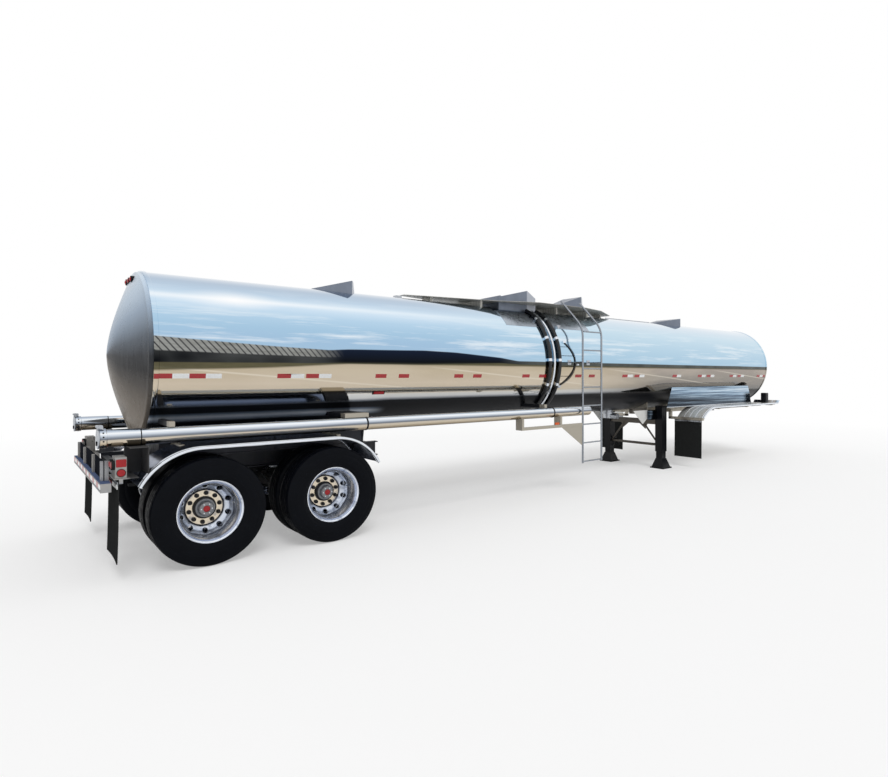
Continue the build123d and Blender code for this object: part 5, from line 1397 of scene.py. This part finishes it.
class TRAILER_OT_dress(bpy.types.Operator):
    """Give every remaining part of the frame its finish"""

    bl_idname = "trailer.dress"
    bl_label = "Frame Finishes"

    def execute(self, context):
        """Each node's material slots take the finish that its row of the table names."""
        table = {
            "bare_metal": ("upper_coupler",),
            "bracket_paint": ("tube_brackets",),
            # the frame's finishes are darkened as painted shade under the tank
            "frame_metal": ("leg_bracing",),
            "frame_dark": ("subframe", "suspension_hangers"),
            "satin_steel": ("top_fittings", "manhole_collar", "manhole_lid", "belly_outlet"),
            "bumper_paint": ("rear_bumper",),
            "axle_black": ("axles", "trailing_arms", "brake_chambers"),
            "chassis_black": ("landing_legs", "leg_crank", "air_tank"),
            "guard_paint": ("overturn_guards", "spill_box"),
            "tread_plate": ("walkway",),
            "pin_steel": ("kingpin",),
        }
        for finish, nodes in table.items():
            for node in nodes:
                slots = frame["nodes"][node].data.materials
                slots.clear()
                slots.append(FINISHES[finish])
        return {"FINISHED"}


# Stage

def floor_paint(shade):
    """A pale floor that passes into plain white light far out, where the camera sees it."""
    paint = Paint("studio_floor")
    paint.finish(paint.mix(paint.noise(0.3, 2.0), shaded(shade, 0.93), shaded(shade, 0.95)), 0.9)
    nodes = paint.tree.nodes
    glow, blend = nodes.new("ShaderNodeEmission"), nodes.new("ShaderNodeMixShader")
    glow.inputs["Color"].default_value = (1.0, 1.0, 1.0, 1.0)
    seen = nodes.new("ShaderNodeLightPath").outputs["Is Camera Ray"]
    far = paint.times(paint.range(paint.distance(paint.x, paint.y), 7.5, 17.0, 0.34, 1.0), seen)
    for source, socket in zip((far, paint.shader.outputs[0], glow.outputs[0]), blend.inputs):
        paint.put(source, socket)
    paint.put(blend.outputs[0], nodes["Material Output"].inputs["Surface"])
    return paint.material


def studio_floor(scene):
    """A flat square grid just under the wheels."""
    side = np.linspace(-scene.trailer_stage.floor_size, scene.trailer_stage.floor_size, 41)
    u, v = np.meshgrid(side, side, indexing="ij")
    points, faces = grid(np.stack([u, v, np.full_like(u, -0.0005)], axis=-1))
    mesh = bpy.data.meshes.new("studio_floor")
    mesh.from_pydata(points, [], faces)
    mesh.materials.append(floor_paint(scene.trailer_colours.floor))
    floor = bpy.data.objects.new("studio_floor", mesh)
    scene.collection.objects.link(floor)


def pale_world(scene):
    """A white world: full light for the camera and in mirrors, the sky light for everything else."""
    world = bpy.data.worlds.new("pale_studio")
    scene.world = world
    world.use_nodes = True
    nodes, links = world.node_tree.nodes, world.node_tree.links
    rays = nodes.new("ShaderNodeLightPath").outputs
    seen = rays["Is Camera Ray"]
    for kind in ("Is Glossy Ray", "Is Transmission Ray"):
        either = nodes.new("ShaderNodeMath")
        either.operation = "MAXIMUM"
        links.new(seen, either.inputs[0])
        links.new(rays[kind], either.inputs[1])
        seen = either.outputs[0]
    level = nodes.new("ShaderNodeMapRange")
    level.inputs["To Min"].default_value = scene.trailer_stage.sky_light
    level.inputs["To Max"].default_value = 1.0
    links.new(seen, level.inputs["Value"])
    links.new(level.outputs[0], nodes["Background"].inputs["Strength"])
    nodes["Background"].inputs["Color"].default_value = (1.0, 1.0, 1.0, 1.0)


def soft_sun(scene):
    """One broad sun lamp that no mirror shows."""
    lamp = bpy.data.lights.new("soft_sun", "SUN")
    lamp.energy = scene.trailer_stage.lamp_light
    lamp.angle = np.radians(24)
    sun = bpy.data.objects.new("soft_sun", lamp)
    sun.rotation_euler = np.radians((38, 0, -18))
    sun.visible_glossy = False
    scene.collection.objects.link(sun)


def photo_camera(scene):
    """A level camera; the shift is the offset of the horizon's middle from the middle of the frame."""
    stage = scene.trailer_stage
    wide, tall = 888, 777
    column, row = 497, 375.9
    view = bpy.data.cameras.new("photo_camera")
    view.sensor_width = 36
    view.lens = stage.focal
    view.shift_x = (wide / 2 - column) / wide
    view.shift_y = (row - tall / 2) / wide
    view.clip_end = 400
    camera = bpy.data.objects.new("photo_camera", view)
    camera.location = (ahead(stage.ahead), -stage.side, stage.eye)
    camera.rotation_euler = (np.pi / 2, 0, -np.radians(stage.turn))
    scene.collection.objects.link(camera)
    scene.camera = camera


class TRAILER_OT_stage(bpy.types.Operator):
    """Set up the floor, the soft light and the camera"""

    bl_idname = "trailer.stage"
    bl_label = "Stage"

    def execute(self, context):
        """A flat floor, a pale world, one broad sun lamp and a level camera with a small shift."""
        for make in (studio_floor, pale_world, soft_sun, photo_camera):
            make(context.scene)
        context.scene.view_settings.view_transform = "Standard"
        return {"FINISHED"}


class TRAILER_PT_panel(bpy.types.Panel):
    """The trailer's sizes, colours and operators in the 3D view's sidebar"""

    bl_idname = "TRAILER_PT_panel"
    bl_label = "Tanker Semi-Trailer"
    bl_space_type = "VIEW_3D"
    bl_region_type = "UI"
    bl_category = "Trailer"

    def draw(self, context):
        """One column of settings and one button for each operator."""
        for group in (context.scene.trailer_tank, context.scene.trailer_wheels, context.scene.trailer_colours,
                      context.scene.trailer_stage):
            box = self.layout.box()
            for name in group.__annotations__:
                box.prop(group, name)
        for operator in OPERATORS:
            self.layout.operator(operator.bl_idname)


GROUPS = {"trailer_tank": TankSizes, "trailer_wheels": WheelSizes, "trailer_colours": FinishColours,
          "trailer_stage": StageSettings}
OPERATORS = (
    TRAILER_OT_finishes, TRAILER_OT_tank, TRAILER_OT_tape, TRAILER_OT_drain_lines, TRAILER_OT_ladder,
    TRAILER_OT_hose_tubes, TRAILER_OT_fenders, TRAILER_OT_tyres, TRAILER_OT_wheels, TRAILER_OT_springs,
    TRAILER_OT_lamps, TRAILER_OT_flaps, TRAILER_OT_top, TRAILER_OT_dress, TRAILER_OT_stage,
)


def register():
    """Make the classes and the settings known to Blender."""
    for name, group in GROUPS.items():
        bpy.utils.register_class(group)
        setattr(bpy.types.Scene, name, PointerProperty(type=group))
    for operator in OPERATORS:
        bpy.utils.register_class(operator)
    bpy.utils.register_class(TRAILER_PT_panel)


def unregister():
    """Take the classes and the settings away again."""
    bpy.utils.unregister_class(TRAILER_PT_panel)
    for operator in reversed(OPERATORS):
        bpy.utils.unregister_class(operator)
    for name, group in reversed(GROUPS.items()):
        delattr(bpy.types.Scene, name)
        bpy.utils.unregister_class(group)


def main():
    """Build every piece in order."""
    register()
    for operator in OPERATORS:
        group, name = operator.bl_idname.split(".")
        getattr(getattr(bpy.ops, group), name)()


if __name__ == "__main__":
    main()
